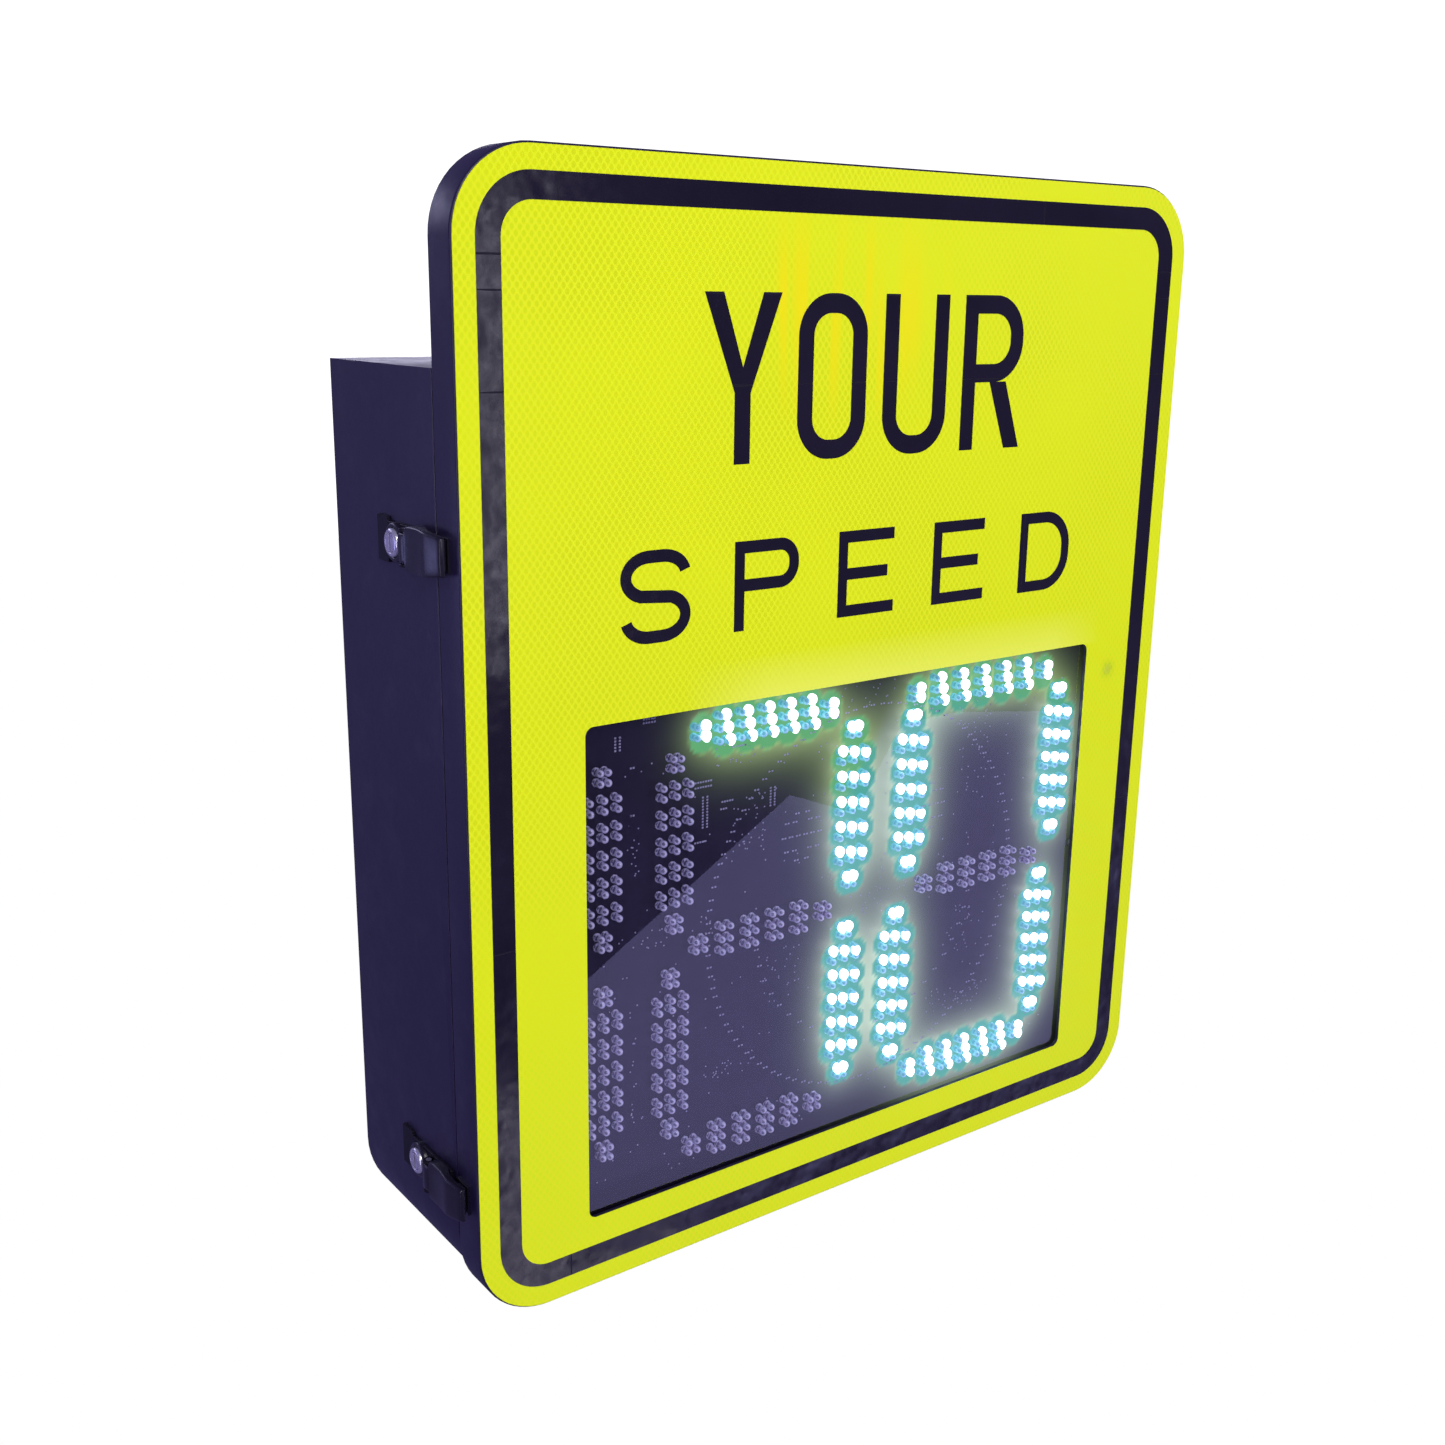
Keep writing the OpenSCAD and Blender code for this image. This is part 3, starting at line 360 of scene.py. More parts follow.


# Painted light and shade of a clear unlit LED, from its tip, 0, to its foot, 1: a paler tip, a dark ring
# where the dome meets the body and a dark foot.
CLEAR_BANDS = [(0.0, (0.86, 0.82, 0.98)), (0.30, (0.76, 0.72, 0.92)), (0.42, (0.58, 0.54, 0.76)),
               (0.50, (0.34, 0.32, 0.50)), (0.60, (0.70, 0.66, 0.88)), (0.82, (0.66, 0.62, 0.84)),
               (0.90, (0.74, 0.70, 0.92)), (1.0, (0.14, 0.13, 0.22))]
LIT_BASE = [(0.0, (0.3, 0.5, 0.6)), (1.0, (0.1, 0.4, 0.4))]
LIT_BANDS = [(0.0, (0.27, 0.55, 0.76)), (0.30, (0.24, 0.52, 0.74)), (0.50, (0.08, 0.42, 0.42)),
             (0.60, (0.22, 0.52, 0.70)), (0.86, (0.14, 0.46, 0.54)), (1.0, (0.06, 0.40, 0.30))]

SHADERS = {
    "navy_coat": powder_coat("navy_powder_coat", (0.0148, 0.0098, 0.0460)),
    "black_rubber": weathered("foam_rubber", (0.016, 0.016, 0.018), 0.78, 1500.0, 0.12, dust=0.10),
    "plated_steel": spangle("zinc_plated_sheet", (0.50, 0.51, 0.53)),
    "bright_fasteners": brushed("plated_hardware", (0.56, 0.56, 0.58), 0.30, (1.0, 1.0, 8.0)),
    "controller_blue": powder_coat("controller_enamel", (0.016, 0.075, 0.17)),
    "terminal_green": weathered("terminal_plastic", (0.03, 0.22, 0.07), 0.45),
    "board_green": weathered("green_solder_mask", (0.012, 0.10, 0.035), 0.32, 1400.0),
    "component_black": weathered("moulded_black", (0.018, 0.018, 0.022), 0.48, 1200.0),
    "terminal_grey": weathered("grey_terminal_plastic", (0.26, 0.27, 0.28), 0.5),
    "rocker_red": weathered("red_rocker_plastic", (0.36, 0.015, 0.010), 0.35),
    "battery_case": weathered("battery_case_plastic", (0.026, 0.027, 0.031), 0.5, 480.0, 0.12, dust=0.12),
    "battery_lead_metal": brushed("cast_lead", (0.42, 0.40, 0.36), 0.5, (3.0, 1.0, 1.0)),
    "strap_webbing": webbing("woven_strap"),
    "lead_insulation": weathered("cable_jacket_red", (0.30, 0.018, 0.012), 0.40, 1500.0),
    "lead_black": weathered("cable_jacket_black", (0.013, 0.013, 0.015), 0.42, 1500.0),
    "nylon_black": weathered("moulded_nylon", (0.013, 0.013, 0.016), 0.40, 1000.0, dust=0.06),
    "latch_matte": weathered("latch_base_enamel", (0.0055, 0.0042, 0.0105), 0.45, Specular_IOR_Level=0.28),
    "latch_black": weathered("latch_enamel", (0.0075, 0.0060, 0.0150), 0.30, 700.0, 0.04, dust=0.04,
                             Coat_Weight=0.25, Coat_Roughness=0.2),
    # The plug's bright lavender tone is a painted reflection of the violet-lit surroundings, on a
    # part-diffuse finish.
    "lock_chrome": brushed("lock_chrome", (0.60, 0.56, 0.76), 0.34, (1.0, 1.0, 1.0), 0.35),
    "lock_ring": brushed("lock_ring_chrome", (0.92, 0.90, 1.0), 0.20, (1.0, 1.0, 1.0), 0.75),
    # Painted shade: the dark block in the keyway slot.
    "keyway": weathered("keyway_painted_shade", (0.006, 0.006, 0.012), 0.8, Specular_IOR_Level=0.1),
    "sheet_yellow_green": prism_sheet("prismatic_yellow_green"),
    "film_black": film("overlay_film_black"),
    "pane_clear": clear_pane("clear_window_pane"),
    "display_black": board_black("display_board_mask"),
    "silkscreen": weathered("board_legend_ink", (0.54, 0.52, 0.66), 0.6),
    # The sensor window glows a little: painted light.
    "sensor_tint": weathered("tinted_diffuser", (0.62, 0.70, 0.02), 0.35,
                             Emission_Color=(0.35, 0.45, 0.015), Emission_Strength=0.40),
    "radar_grey": weathered("radome_plastic", (0.045, 0.050, 0.058), 0.5),
    # The unlit LEDs glow faintly with their band colours: painted light.
    "led_off": lens("led_lens_clear", CLEAR_BANDS, (0.07, 0.055, 0.14), CLEAR_BANDS, (0.0, 0.0, 0.0), 0.07),
    "led_on": lens("led_lens_lit", LIT_BASE, (0.02, 0.20, 0.20), LIT_BANDS, (0.09, 0.37, 0.48), 0.85),
    "led_core": glow_core("led_glare_white"),
}
MATERIALS = {slot: shader.mat for slot, shader in SHADERS.items()}

# ---------------- mesh helpers


def mesh_object(name, part, mat=None):
    """Puts (verts, faces) into the scene as an object, its faces turned outward."""
    verts, faces = part
    mesh = bpy.data.meshes.new(name)
    mesh.from_pydata([tuple(v) for v in verts], [], faces)
    bm = bmesh.new()
    bm.from_mesh(mesh)
    bmesh.ops.recalc_face_normals(bm, faces=bm.faces)
    bm.to_mesh(mesh)
    bm.free()
    if mat:
        mesh.materials.append(mat)
    obj = bpy.data.objects.new(name, mesh)
    bpy.context.scene.collection.objects.link(obj)
    return obj


def add_piece(name, part, mat, body, replaces=(), bevel=0.0, segments=2, angle=35):
    """A visual piece that rides a body. Edges sharper than angle stay sharp, or are bevelled."""
    obj = mesh_object(name, part, MATERIALS[mat])
    obj.data.polygons.foreach_set("use_smooth", [True] * len(obj.data.polygons))
    obj.data.set_sharp_from_angle(angle=math.radians(angle))
    if bevel:
        mod = obj.modifiers.new("bevel", "BEVEL")
        mod.width = bevel
        mod.segments = segments
        mod.limit_method = "ANGLE"
        mod.angle_limit = math.radians(angle)
        mod.harden_normals = True
    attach(obj, body)
    if replaces:
        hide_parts(*replaces)
    return obj


def angles(n):
    """n even steps round a turn."""
    return [2 * math.pi * i / n for i in range(n)]


def arc(cx, cz, r, a0, a1, n=14, rz=None):
    """Points on an arc, angles in degrees, ends included. rz makes it part of an ellipse."""
    steps = [math.radians(a0 + (a1 - a0) * i / n) for i in range(n + 1)]
    return [(cx + r * math.cos(a), cz + (rz or r) * math.sin(a)) for a in steps]


def circle(cx, cz, r, n=32):
    return arc(cx, cz, r, 0, 360 * (n - 1) / n, n - 1)


def round_rect(w, h, r, cx=0.0, cz=0.0):
    """Counter-clockwise outline of a rectangle with rounded corners."""
    pts = []
    for sx, sz, a in ((1, -1, -90), (1, 1, 0), (-1, 1, 90), (-1, -1, 180)):
        pts += arc(cx + sx * (w / 2 - r), cz + sz * (h / 2 - r), r, a, a + 90)
    return pts


def skin(rings, n, first=0, loop=False):
    """Faces between rings of n points that follow one another. loop joins the last ring to the first."""
    faces = []
    for k in range(rings if loop else rings - 1):
        a, b = first + k * n, first + (k + 1) % rings * n
        faces += [(a + i, a + (i + 1) % n, b + (i + 1) % n, b + i) for i in range(n)]
    return faces


def tube(rings, n):
    """Faces of a tube of rings of n points, with its two ends."""
    return skin(rings, n) + [tuple(range(n)), tuple(range((rings - 1) * n, rings * n))]


def prism(outer, y0, y1, holes=()):
    """A plate with holes: outlines in X and Z, thickness along Y. Returns vertices and faces."""
    loops = [list(outer)] + [list(h) for h in holes]
    flat = [p for loop in loops for p in loop]
    n = len(flat)
    tris = tessellate_polygon([[Vector((p[0], p[1], 0)) for p in loop] for loop in loops])
    faces = [tuple(t) for t in tris] + [tuple(i + n for i in reversed(t)) for t in tris]
    start = 0
    for loop in loops:
        m = len(loop)
        for a, b in ((start + i, start + (i + 1) % m) for i in range(m)):
            faces.append((a, b, b + n, a + n))
        start += m
    return [(x, y, z) for y in (y0, y1) for x, z in flat], faces


def slab_x(outline, x0, x1):
    """A flat shape with its outline in Y and Z and its thickness along X."""
    return [(x, y, z) for x in (x0, x1) for y, z in outline], tube(2, len(outline))


def block(x0, x1, y0, y1, z0, z1):
    return slab_x([(y0, z0), (y1, z0), (y1, z1), (y0, z1)], x0, x1)


def merge(*parts):
    """Joins (verts, faces) pairs into one."""
    verts, faces = [], []
    for v, f in parts:
        base = len(verts)
        verts += list(v)
        faces += [tuple(i + base for i in face) for face in f]
    return verts, faces


def place(part, matrix):
    v, f = part
    return [matrix @ Vector(p) for p in v], f


def lathe(profile, n=48, caps=True, loop=False):
    """Turns a profile of (radius, height) in millimetres about local Z. Returns vertices and faces."""
    verts = [(r * MM * math.cos(a), r * MM * math.sin(a), h * MM) for r, h in profile for a in angles(n)]
    return verts, tube(len(profile), n) if caps and not loop else skin(len(profile), n, loop=loop)


def along(point, axis):
    """Matrix that puts local Z along an axis at a point."""
    rot = Vector((0, 0, 1)).rotation_difference(Vector(axis)).to_matrix().to_4x4()
    return Matrix.Translation(Vector(point)) @ rot


def turned(point, axis, profile, n=48, **how):
    return place(lathe(profile, n, **how), along(point, axis))


def loft(outline_of, profile):
    """Carries an outline round a closed profile of (inset, y): folded sheet-metal rims and walls."""
    verts = [(x, y, z) for inset, y in profile for x, z in outline_of(inset)]
    return verts, skin(len(profile), len(verts) // len(profile), loop=True)


def cut(obj, tools):
    """Takes closed shapes away from a piece that has no modifiers yet."""
    cutters = [mesh_object("cutter", part) for part in tools]
    for cutter in cutters:
        mod = obj.modifiers.new("cut", "BOOLEAN")
        mod.object = cutter
        mod.operation = "DIFFERENCE"
        mod.solver = "EXACT"
    bpy.context.view_layer.update()
    done = bpy.data.meshes.new_from_object(obj.evaluated_get(bpy.context.evaluated_depsgraph_get()))
    obj.modifiers.clear()
    obj.data = done
    for cutter in cutters:
        bpy.data.objects.remove(cutter)
    done.set_sharp_from_angle(angle=math.radians(35))


# ---------------- door pan and face
PAN_T = 2.5 * MM
RIM_T = 2.0 * MM
LIP = 18 * MM
FOLD = 1.6 * MM
REAR_FOLD = 1.2 * MM
CORNER = 50.8 * MM
SHEET_IN = 1.3 * MM
SENSOR_HOLE_R = 3.6 * MM
PAN_FRONT, PAN_BACK, PAN_REAR = PAN_LO.y, PAN_LO.y + PAN_T, PAN_HI.y
PAN_MID = middle("door_pan").z
RADAR = middle("radar_module")


def sign_outline(inset):
    return round_rect(2 * (HALF_W - inset), PAN_HI.z - PAN_LO.z - 2 * inset, CORNER - inset, 0, PAN_MID)


pan_profile = [
    (LIP, PAN_REAR), *arc(REAR_FOLD, PAN_REAR - REAR_FOLD, REAR_FOLD, 90, 180, 4),
    *arc(FOLD, PAN_FRONT + FOLD, FOLD, 180, 270, 4), (FOLD, PAN_BACK), (PAN_T, PAN_BACK),
    (PAN_T, PAN_REAR - RIM_T), (LIP, PAN_REAR - RIM_T),
]
window_hole = round_rect(WIN_W, WIN_H, WIN_R, WIN_C.x, WIN_C.z)
sensor_hole = circle(SENSOR.x, SENSOR.z, SENSOR_HOLE_R)
radar_hole = round_rect(60 * MM, 80 * MM, 4 * MM, RADAR.x, RADAR.z)
pan_plate = prism(sign_outline(FOLD), PAN_FRONT, PAN_BACK, [window_hole, sensor_hole, radar_hole])
rail_x = HALF_W - LIP
cross_rail = block(-rail_x, rail_x, PAN_REAR - RIM_T, PAN_REAR, CAB_HI.z - LIP, CAB_HI.z + RIM_T)
add_piece("door_pan_skin", merge(loft(sign_outline, pan_profile), pan_plate, cross_rail),
          "navy_coat", "door", ["door_pan"], angle=30)
sheet = prism(sign_outline(SHEET_IN), SHEET_LO.y, SHEET_HI.y, [window_hole, sensor_hole])
add_piece("reflective_sheet", sheet, "sheet_yellow_green", "door", ["sign_sheet"])
sensor_cap = [(3.58, 2.6), (3.58, 0.12), (3.2, 0.05), (1.5, 0.02), (0.3, 0.0)]
add_piece("light_sensor_window", turned((SENSOR.x, FACE_Y, SENSOR.z), (0, 1, 0), sensor_cap, 32),
          "sensor_tint", "door")

# ---------------- display board and its glow
TENS_LO, TENS_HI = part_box("leds_tens")
UNITS_LO, UNITS_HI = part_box("leds_units")
HUND_X = middle("leds_hundreds").x
DIGIT_Z = middle("leds_tens").z
SEG_HALF = 75 * MM
STROKE_X = 76 * MM
# Sideways offsets of the strokes and bars: upper and lower strokes, then top and lowest bars.
UP_DX = 2 * MM
TENS_LOW_DX, UNITS_LOW_DX = -0.8 * MM, -7.5 * MM
TENS_BARS_DX, UNITS_BARS_DX = (0.0, -4.4 * MM), (-6 * MM, -6 * MM)
TENS_X = (TENS_LO.x + TENS_HI.x - UP_DX - TENS_LOW_DX) / 2
UNITS_X = (UNITS_LO.x + UNITS_HI.x - UP_DX - UNITS_LOW_DX) / 2
BAR_HALF = 149.2 * MM
PITCH_A = 18.6 * MM
PITCH_B = 10.6 * MM
PITCH_C = 8.8 * MM
BAR_TENS, BAR_TOP, BAR_MID, BAR_LOW = 108.6 * MM, 132 * MM, 111.6 * MM, 118 * MM
PAIR = 3.5 * MM
END_STEP = 3.0 * MM
LED_H = BOARD_LO.y - TENS_LO.y
LIT_TALL = 0.90

# An LED pair is (x, z, upright, line): line is -1, 0 or 1 across its segment. Its lit LED is the upper one,
# or the right-hand one when it lies flat.


def seg_v(cx, cz):
    """LED pairs of an upright segment: five rows of three, and a double pair at each end."""
    rows = [(cx + j * PITCH_B, cz + i * PITCH_A, True, j) for i in range(-2, 3) for j in (-1, 0, 1)]
    return rows + [(cx + d * END_STEP, cz + s * 3 * PITCH_A, True, 0) for s in (-1, 1) for d in (-1, 1)]


def seg_h(cx, cz, columns, length):
    """LED pairs of a bar with this many columns of three, and a double pair at each end."""
    left, step = cx - length / 2, length / (columns + 1)
    cols = [(left + i * step, cz + j * PITCH_C, False, j) for i in range(1, columns + 1) for j in (-1, 0, 1)]
    return cols + [(cx + s * length / 2, cz + d * PAIR, False, 0) for s in (-1, 1) for d in (-1, 1)]


def digit_pairs(cx, lit, lengths, low_dx, bars_dx):
    """Lit and unlit LED pairs of one digit. lit holds the names of its lit segments."""
    segs = {
        "top": seg_h(cx + bars_dx[0], DIGIT_Z + BAR_HALF, 5, lengths[0]),
        "mid": seg_h(cx, DIGIT_Z, 4, lengths[1]),
        "low": seg_h(cx + bars_dx[1], DIGIT_Z - BAR_HALF, 5 if "low" in lit else 4, lengths[2]),
        "ul": seg_v(cx - STROKE_X + UP_DX, DIGIT_Z + SEG_HALF),
        "ur": seg_v(cx + STROKE_X + UP_DX, DIGIT_Z + SEG_HALF),
        "ll": seg_v(cx - STROKE_X + low_dx, DIGIT_Z - SEG_HALF),
        "lr": seg_v(cx + STROKE_X + low_dx, DIGIT_Z - SEG_HALF),
    }
    return [[p for name in segs if (name in lit) is on for p in segs[name]] for on in (True, False)]


tens_on, tens_off = digit_pairs(TENS_X, ("top", "ur", "lr"), [BAR_TENS] * 3, TENS_LOW_DX, TENS_BARS_DX)
units_on, units_off = digit_pairs(UNITS_X, ("top", "ul", "ur", "ll", "lr", "low"),
                                  (BAR_TOP, BAR_MID, BAR_LOW), UNITS_LOW_DX, UNITS_BARS_DX)
hund_off = seg_v(HUND_X, DIGIT_Z + SEG_HALF) + seg_v(HUND_X, DIGIT_Z - SEG_HALF)


def pair_places(pair):
    """Where the two LEDs of a pair stand, the one that lights first."""
    x, z, upright, _ = pair
    return ((x, z + PAIR), (x, z - PAIR)) if upright else ((x + PAIR, z), (x - PAIR, z))


def both(pairs):
    return [place_at for pair in pairs for place_at in pair_places(pair)]


# The LED's outline in millimetres: radius, height above the board, and how far it is from the tip, 0 to 1.
LED_TALL = 8.6
LED_PROFILE = [(0.45, 8.57, 0.05), (1.1, 8.33, 0.14), (1.75, 7.86, 0.24), (2.25, 7.20, 0.34),
               (2.54, 6.50, 0.43), (2.6, 5.8, 0.50), (2.6, 3.6, 0.70), (2.6, 1.3, 0.88), (2.95, 1.1, 0.93),
               (2.95, 0.0, 1.0)]


def led(cx, cz, tall, n=12):
    """One round LED standing on the board, with each vertex's place along it."""
    verts, ring = [(cx, BOARD_Y - tall * LED_H, cz)], [0.0]
    for r, h, t in LED_PROFILE:
        y = BOARD_Y - h / LED_TALL * tall * LED_H
        verts += [(cx + r * MM * math.cos(a), y, cz + r * MM * math.sin(a)) for a in angles(n)]
        ring += [t] * n
    return verts, [(0, 1 + i, 1 + (i + 1) % n) for i in range(n)] + skin(len(LED_PROFILE), n, 1), ring


def led_group(name, pairs, mat, replaces=(), tall=1.0):
    """All LEDs of some pairs as one piece, each a little out of place."""
    jitter = 0.2
    made = [led(x + random.uniform(-jitter, jitter) * MM, z + random.uniform(-jitter, jitter) * MM, tall)
            for x, z in both(pairs)]
    obj = add_piece(name, merge(*((v, f) for v, f, _ in made)), mat, "door", replaces, angle=60)
    ring = obj.data.attributes.new("ring", "FLOAT", "POINT")
    ring.data.foreach_set("value", [t for *_, places in made for t in places])


def led_core(x, z, n=14, rings=8):
    """Painted glare of a lit LED: a glowing rounded drop round its tip."""
    y, half, rx, rz = BOARD_Y - 5.5 * MM, 3.0 * MM, 3.45 * MM, 3.85 * MM
    verts = [(x, y - half, z)]
    for t in (math.pi * k / rings for k in range(1, rings)):
        front = math.copysign(abs(math.cos(t)) ** 0.6, math.cos(t))
        for a in angles(n):
            drop = 1.0 + 0.22 * max(0.0, -math.sin(a)) ** 5
            verts.append((x + rx * math.sin(t) * math.cos(a), y - half * front,
                          z + rz * math.sin(t) * math.sin(a) * drop))
    verts.append((x, y + half, z))
    faces = skin(rings - 1, n, 1)
    last, low = len(verts) - 1, len(verts) - 1 - n
    for i, j in ((i, (i + 1) % n) for i in range(n)):
        faces += [(0, 1 + i, 1 + j), (last, low + j, low + i)]
    return verts, faces


def led_cores(name, pairs):
    parts = []
    for pair in pairs:
        _, _, upright, line = pair
        x, z = pair_places(pair)[0]
        # The painted glare spots keep level across a segment's lines.
        sink = 1.9 * MM * line
        dx, dz = (-0.3 * MM, -0.2 * MM - sink) if upright else (-0.3 * MM - sink, 0.9 * MM)
        parts.append(led_core(x + dx, z + dz))
    add_piece(name, merge(*parts), "led_core", "door", angle=80)


led_group("leds_hundreds_clear", hund_off, "led_off", ["leds_hundreds"])
led_group("leds_tens_clear", tens_off, "led_off", ["leds_tens"])
led_group("leds_units_clear", units_off, "led_off", ["leds_units"])
led_group("leds_tens_lit", tens_on, "led_on", tall=LIT_TALL)
led_group("leds_units_lit", units_on, "led_on", tall=LIT_TALL)
led_cores("led_cores_tens", tens_on)
led_cores("led_cores_units", units_on)


def smooth(t):
    """A soft step from 0 to 1."""
    t = max(0.0, min(1.0, t))
    return t * t * (3 - 2 * t)


# Top edge of the pale shape that the window mirrors, left to right, in millimetres.
MIRRORED_TOP = [(-226, -82), (-60, 15), (0, -9), (40, 50), (95, 51), (228, 33)]


def mirrored_edge(x):
    """Height of the mirrored shape's top edge at x."""
    x = max(MIRRORED_TOP[0][0], min(MIRRORED_TOP[-1][0], x / MM))
    for (xa, za), (xb, zb) in zip(MIRRORED_TOP, MIRRORED_TOP[1:]):
        if x <= xb:
            return (za + (zb - za) * (x - xa) / (xb - xa)) * MM
    return MIRRORED_TOP[-1][1] * MM


# The halo sits round the LEDs as they look from the front left and above. Its sizes are in millimetres.
HALO_DX, HALO_DZ = 4.0 * MM, -2.6 * MM
HALO_R, HALO_SOFT = 9.6, 1.5
RIM_R, RIM_SOFT, RIM_GAIN = 10.6, 1.1, 0.35
FALLOFF = 13.5 * MM
GLOW_REACH = 90


def glow_at(x, z):
    """Painted light on the board at a place: a tight green-to-teal halo round each pair and a wide pale
    falloff, both shifted paler and bluer where the window mirrors the pale shape.
    """
    squares = [(x - px - HALO_DX) ** 2 + (z - pz - HALO_DZ) ** 2 for px, pz, *_ in tens_on + units_on]
    d = math.sqrt(min(squares)) / MM
    if d > GLOW_REACH:
        return 0.0, 0.0, 0.0
    wide = min(1.0, 0.30 * sum(math.exp(-math.sqrt(d2) / FALLOFF) for d2 in squares)) ** 1.5
    # Painted reflection: under the edge of the pale shape that the window mirrors, the glow's colours shift.
    low = smooth((mirrored_edge(x) + 20 * MM - z) / (30 * MM))
    halo_w = 1 - smooth((d - HALO_R) / HALO_SOFT)
    rim = RIM_GAIN * max(0.0, 1 - abs(d - RIM_R) / RIM_SOFT)
    halo = (0.14 - 0.05 * low, 0.52 - 0.02 * low, 0.17 + 0.19 * low)
    pale = (0.60 + 0.12 * low, 0.86 + 0.08 * low, 0.30 + 0.32 * low)
    edge = (0.16, 0.38, 0.09)
    return tuple(h * halo_w + p * wide * (1 - halo_w) + e * rim for h, p, e in zip(halo, pale, edge))


def board_mesh():
    """The board as two fine grids and its edges, with the glow held on the front one."""
    w, h = BOARD_HI.x - BOARD_LO.x, BOARD_HI.z - BOARD_LO.z
    step = 2.5 * MM
    nx, nz = round(w / step), round(h / step)
    row, layer = nx + 1, (nx + 1) * (nz + 1)
    verts, glow = [], []
    for y in (BOARD_LO.y, BOARD_HI.y):
        for j in range(nz + 1):
            for i in range(row):
                x, z = BOARD_LO.x + w * i / nx, BOARD_LO.z + h * j / nz
                verts.append((x, y, z))
                shown = y == BOARD_LO.y and abs(z - WIN_C.z) < WIN_H / 2 + 16 * MM
                glow += [*(glow_at(x, z) if shown else (0.0, 0.0, 0.0)), 1.0]
    cells = [j * row + i for j in range(nz) for i in range(nx)]
    faces = [tuple(first + a + k for k in (0, 1, row + 1, row)) for first in (0, layer) for a in cells]
    low_right, top_right, top_left = nx, layer - 1, layer - row
    border = [*range(low_right), *range(low_right, top_right, row), *range(top_right, top_left, -1),
              *range(top_left, 0, -row)]
    faces += [(a, b, layer + b, layer + a) for a, b in zip(border, border[1:] + border[:1])]
    obj = add_piece("display_board", (verts, faces), "display_black", "door", ["led_board"])
    obj.data.color_attributes.new("glow", "FLOAT_COLOR", "POINT").data.foreach_set("color", glow)


board_mesh()

# Printed marks and chip pads on the board. Their sizes and places are in millimetres.
LED_CLEAR = 4.4 * MM
MARK_T, MARK_SUNK = 0.18 * MM, 0.05 * MM
led_places = both(tens_on + tens_off + units_on + units_off + hund_off)
marks = []


def mark(x, z, w, h):
    """Adds one mark, unless it would lie beyond the window or close to an LED."""
    x, z, w, h = x * MM, z * MM, w * MM / 2, h * MM / 2
    if abs(x - WIN_C.x) > WIN_W / 2 + 8 * MM or abs(z - WIN_C.z) > WIN_H / 2 - 1 * MM:
        return
    if all((x - lx) ** 2 + (z - lz) ** 2 > LED_CLEAR ** 2 for lx, lz in led_places):
        marks.append(block(x - w, x + w, BOARD_Y - MARK_T, BOARD_Y + MARK_SUNK, z - h, z + h))


def chip(x, z):
    """A small two-ended part: a pair of short dashes."""
    for end in (-1.25, 1.25):
        mark(x + end, z, 1.5, 1.15)


def round_symbol(cx=26.5, cz=-81, ring_r=144.5, mouth_r=104):
    """Parts for the round symbol that the board can also show: its ring, in unequal steps, eyes and mouth."""
    arc_at, steps = 0.0, itertools.cycle((7.0, 9.4))
    while arc_at < 2 * math.pi * ring_r:
        chip(cx + ring_r * math.cos(arc_at / ring_r), cz + ring_r * math.sin(arc_at / ring_r))
        arc_at += next(steps)
    eyes_x, eyes_z, eye_dx = 22, -80, 59.6
    outer, inner = (-4.5, 4.5), (-13.5, -6.5, 7.0, 14.0)
    eye = ((75, outer), (69, inner), (58.5, (-16, -9.8, -3.3, 3.2, 9.6, 16)), (48, inner), (40.5, outer))
    for side in (-1, 1):
        for row, offs in eye:
            for off in offs:
                chip(eyes_x + side * eye_dx + off, eyes_z + row)
        for x, z in arc(cx, cz, mouth_r, -90 + side * 7, -90 + side * 80, 10):
            chip(x, z)


def loose_points():
    """Test points and vias all over, then thicker patches: middle, half width, half height and how many."""
    for _ in range(300):
        x = WIN_C.x + random.uniform(-WIN_W / 2, WIN_W / 2)
        z = WIN_C.z + random.uniform(-WIN_H / 2, WIN_H / 2)
        mark(x / MM, z / MM, random.choice((0.8, 1.0)), random.choice((0.8, 1.0)))
    for px, pz, rx, rz, n in (
            (-92, 54, 22, 14, 34), (-84, -4, 14, 22, 40), (-150, -72, 40, 10, 30),
            (40, -86, 34, 10, 30), (-98, -182, 22, 7, 22), (-52, -122, 16, 26, 26),
            (128, 20, 16, 40, 46), (120, -184, 30, 10, 40), (128, -128, 20, 20, 26),
            (-178, -4, 5, 24, 14), (-178, -170, 4, 60, 18), (24, 74, 22, 10, 14)):
        for _ in range(n):
            mark(px + random.uniform(-rx, rx), pz + random.uniform(-rz, rz), 0.9, 0.9)


def pad_rows():
    """Chip pads in close rows: middle, how many, row gap, and whether they run upward."""
    for px, pz, n, gap, upright in (
            (-123, 30, 7, 3.6, False), (-121.4, 10.4, 11, 3.6, True), (-125, -10, 5, 0, False),
            (-190, 68, 5, 3.4, True), (-64.5, 11.5, 7, 3.6, True), (-103, 15, 5, 0, False),
            (-106, 10, 3, 0, False), (-94, 52, 6, 0, False), (-179, 50.5, 2, 0, False),
            (-179, 18.5, 2, 0, False), (-166, 80, 5, 2.4, False)):
        for i in range(n):
            for side in ((-1, 1) if gap else (0,)):
                a, b = (i - (n - 1) / 2) * 2.1, side * gap / 2
                mark(*((px + b, pz + a) if upright else (px + a, pz + b)), 1.35, 1.2)


round_symbol()
loose_points()
pad_rows()
add_piece("board_marks", merge(*marks), "silkscreen", "door")

# ---------------- cabinet
WALL = 2.5 * MM
CABINET_CORNER = 60 * MM
SEAM_FOLD, BACK_FOLD = 0.5 * MM, 2.0 * MM
MOUNT_X, MOUNT_Z, MOUNT_R = 76.2 * MM, 228.6 * MM, 5.5 * MM


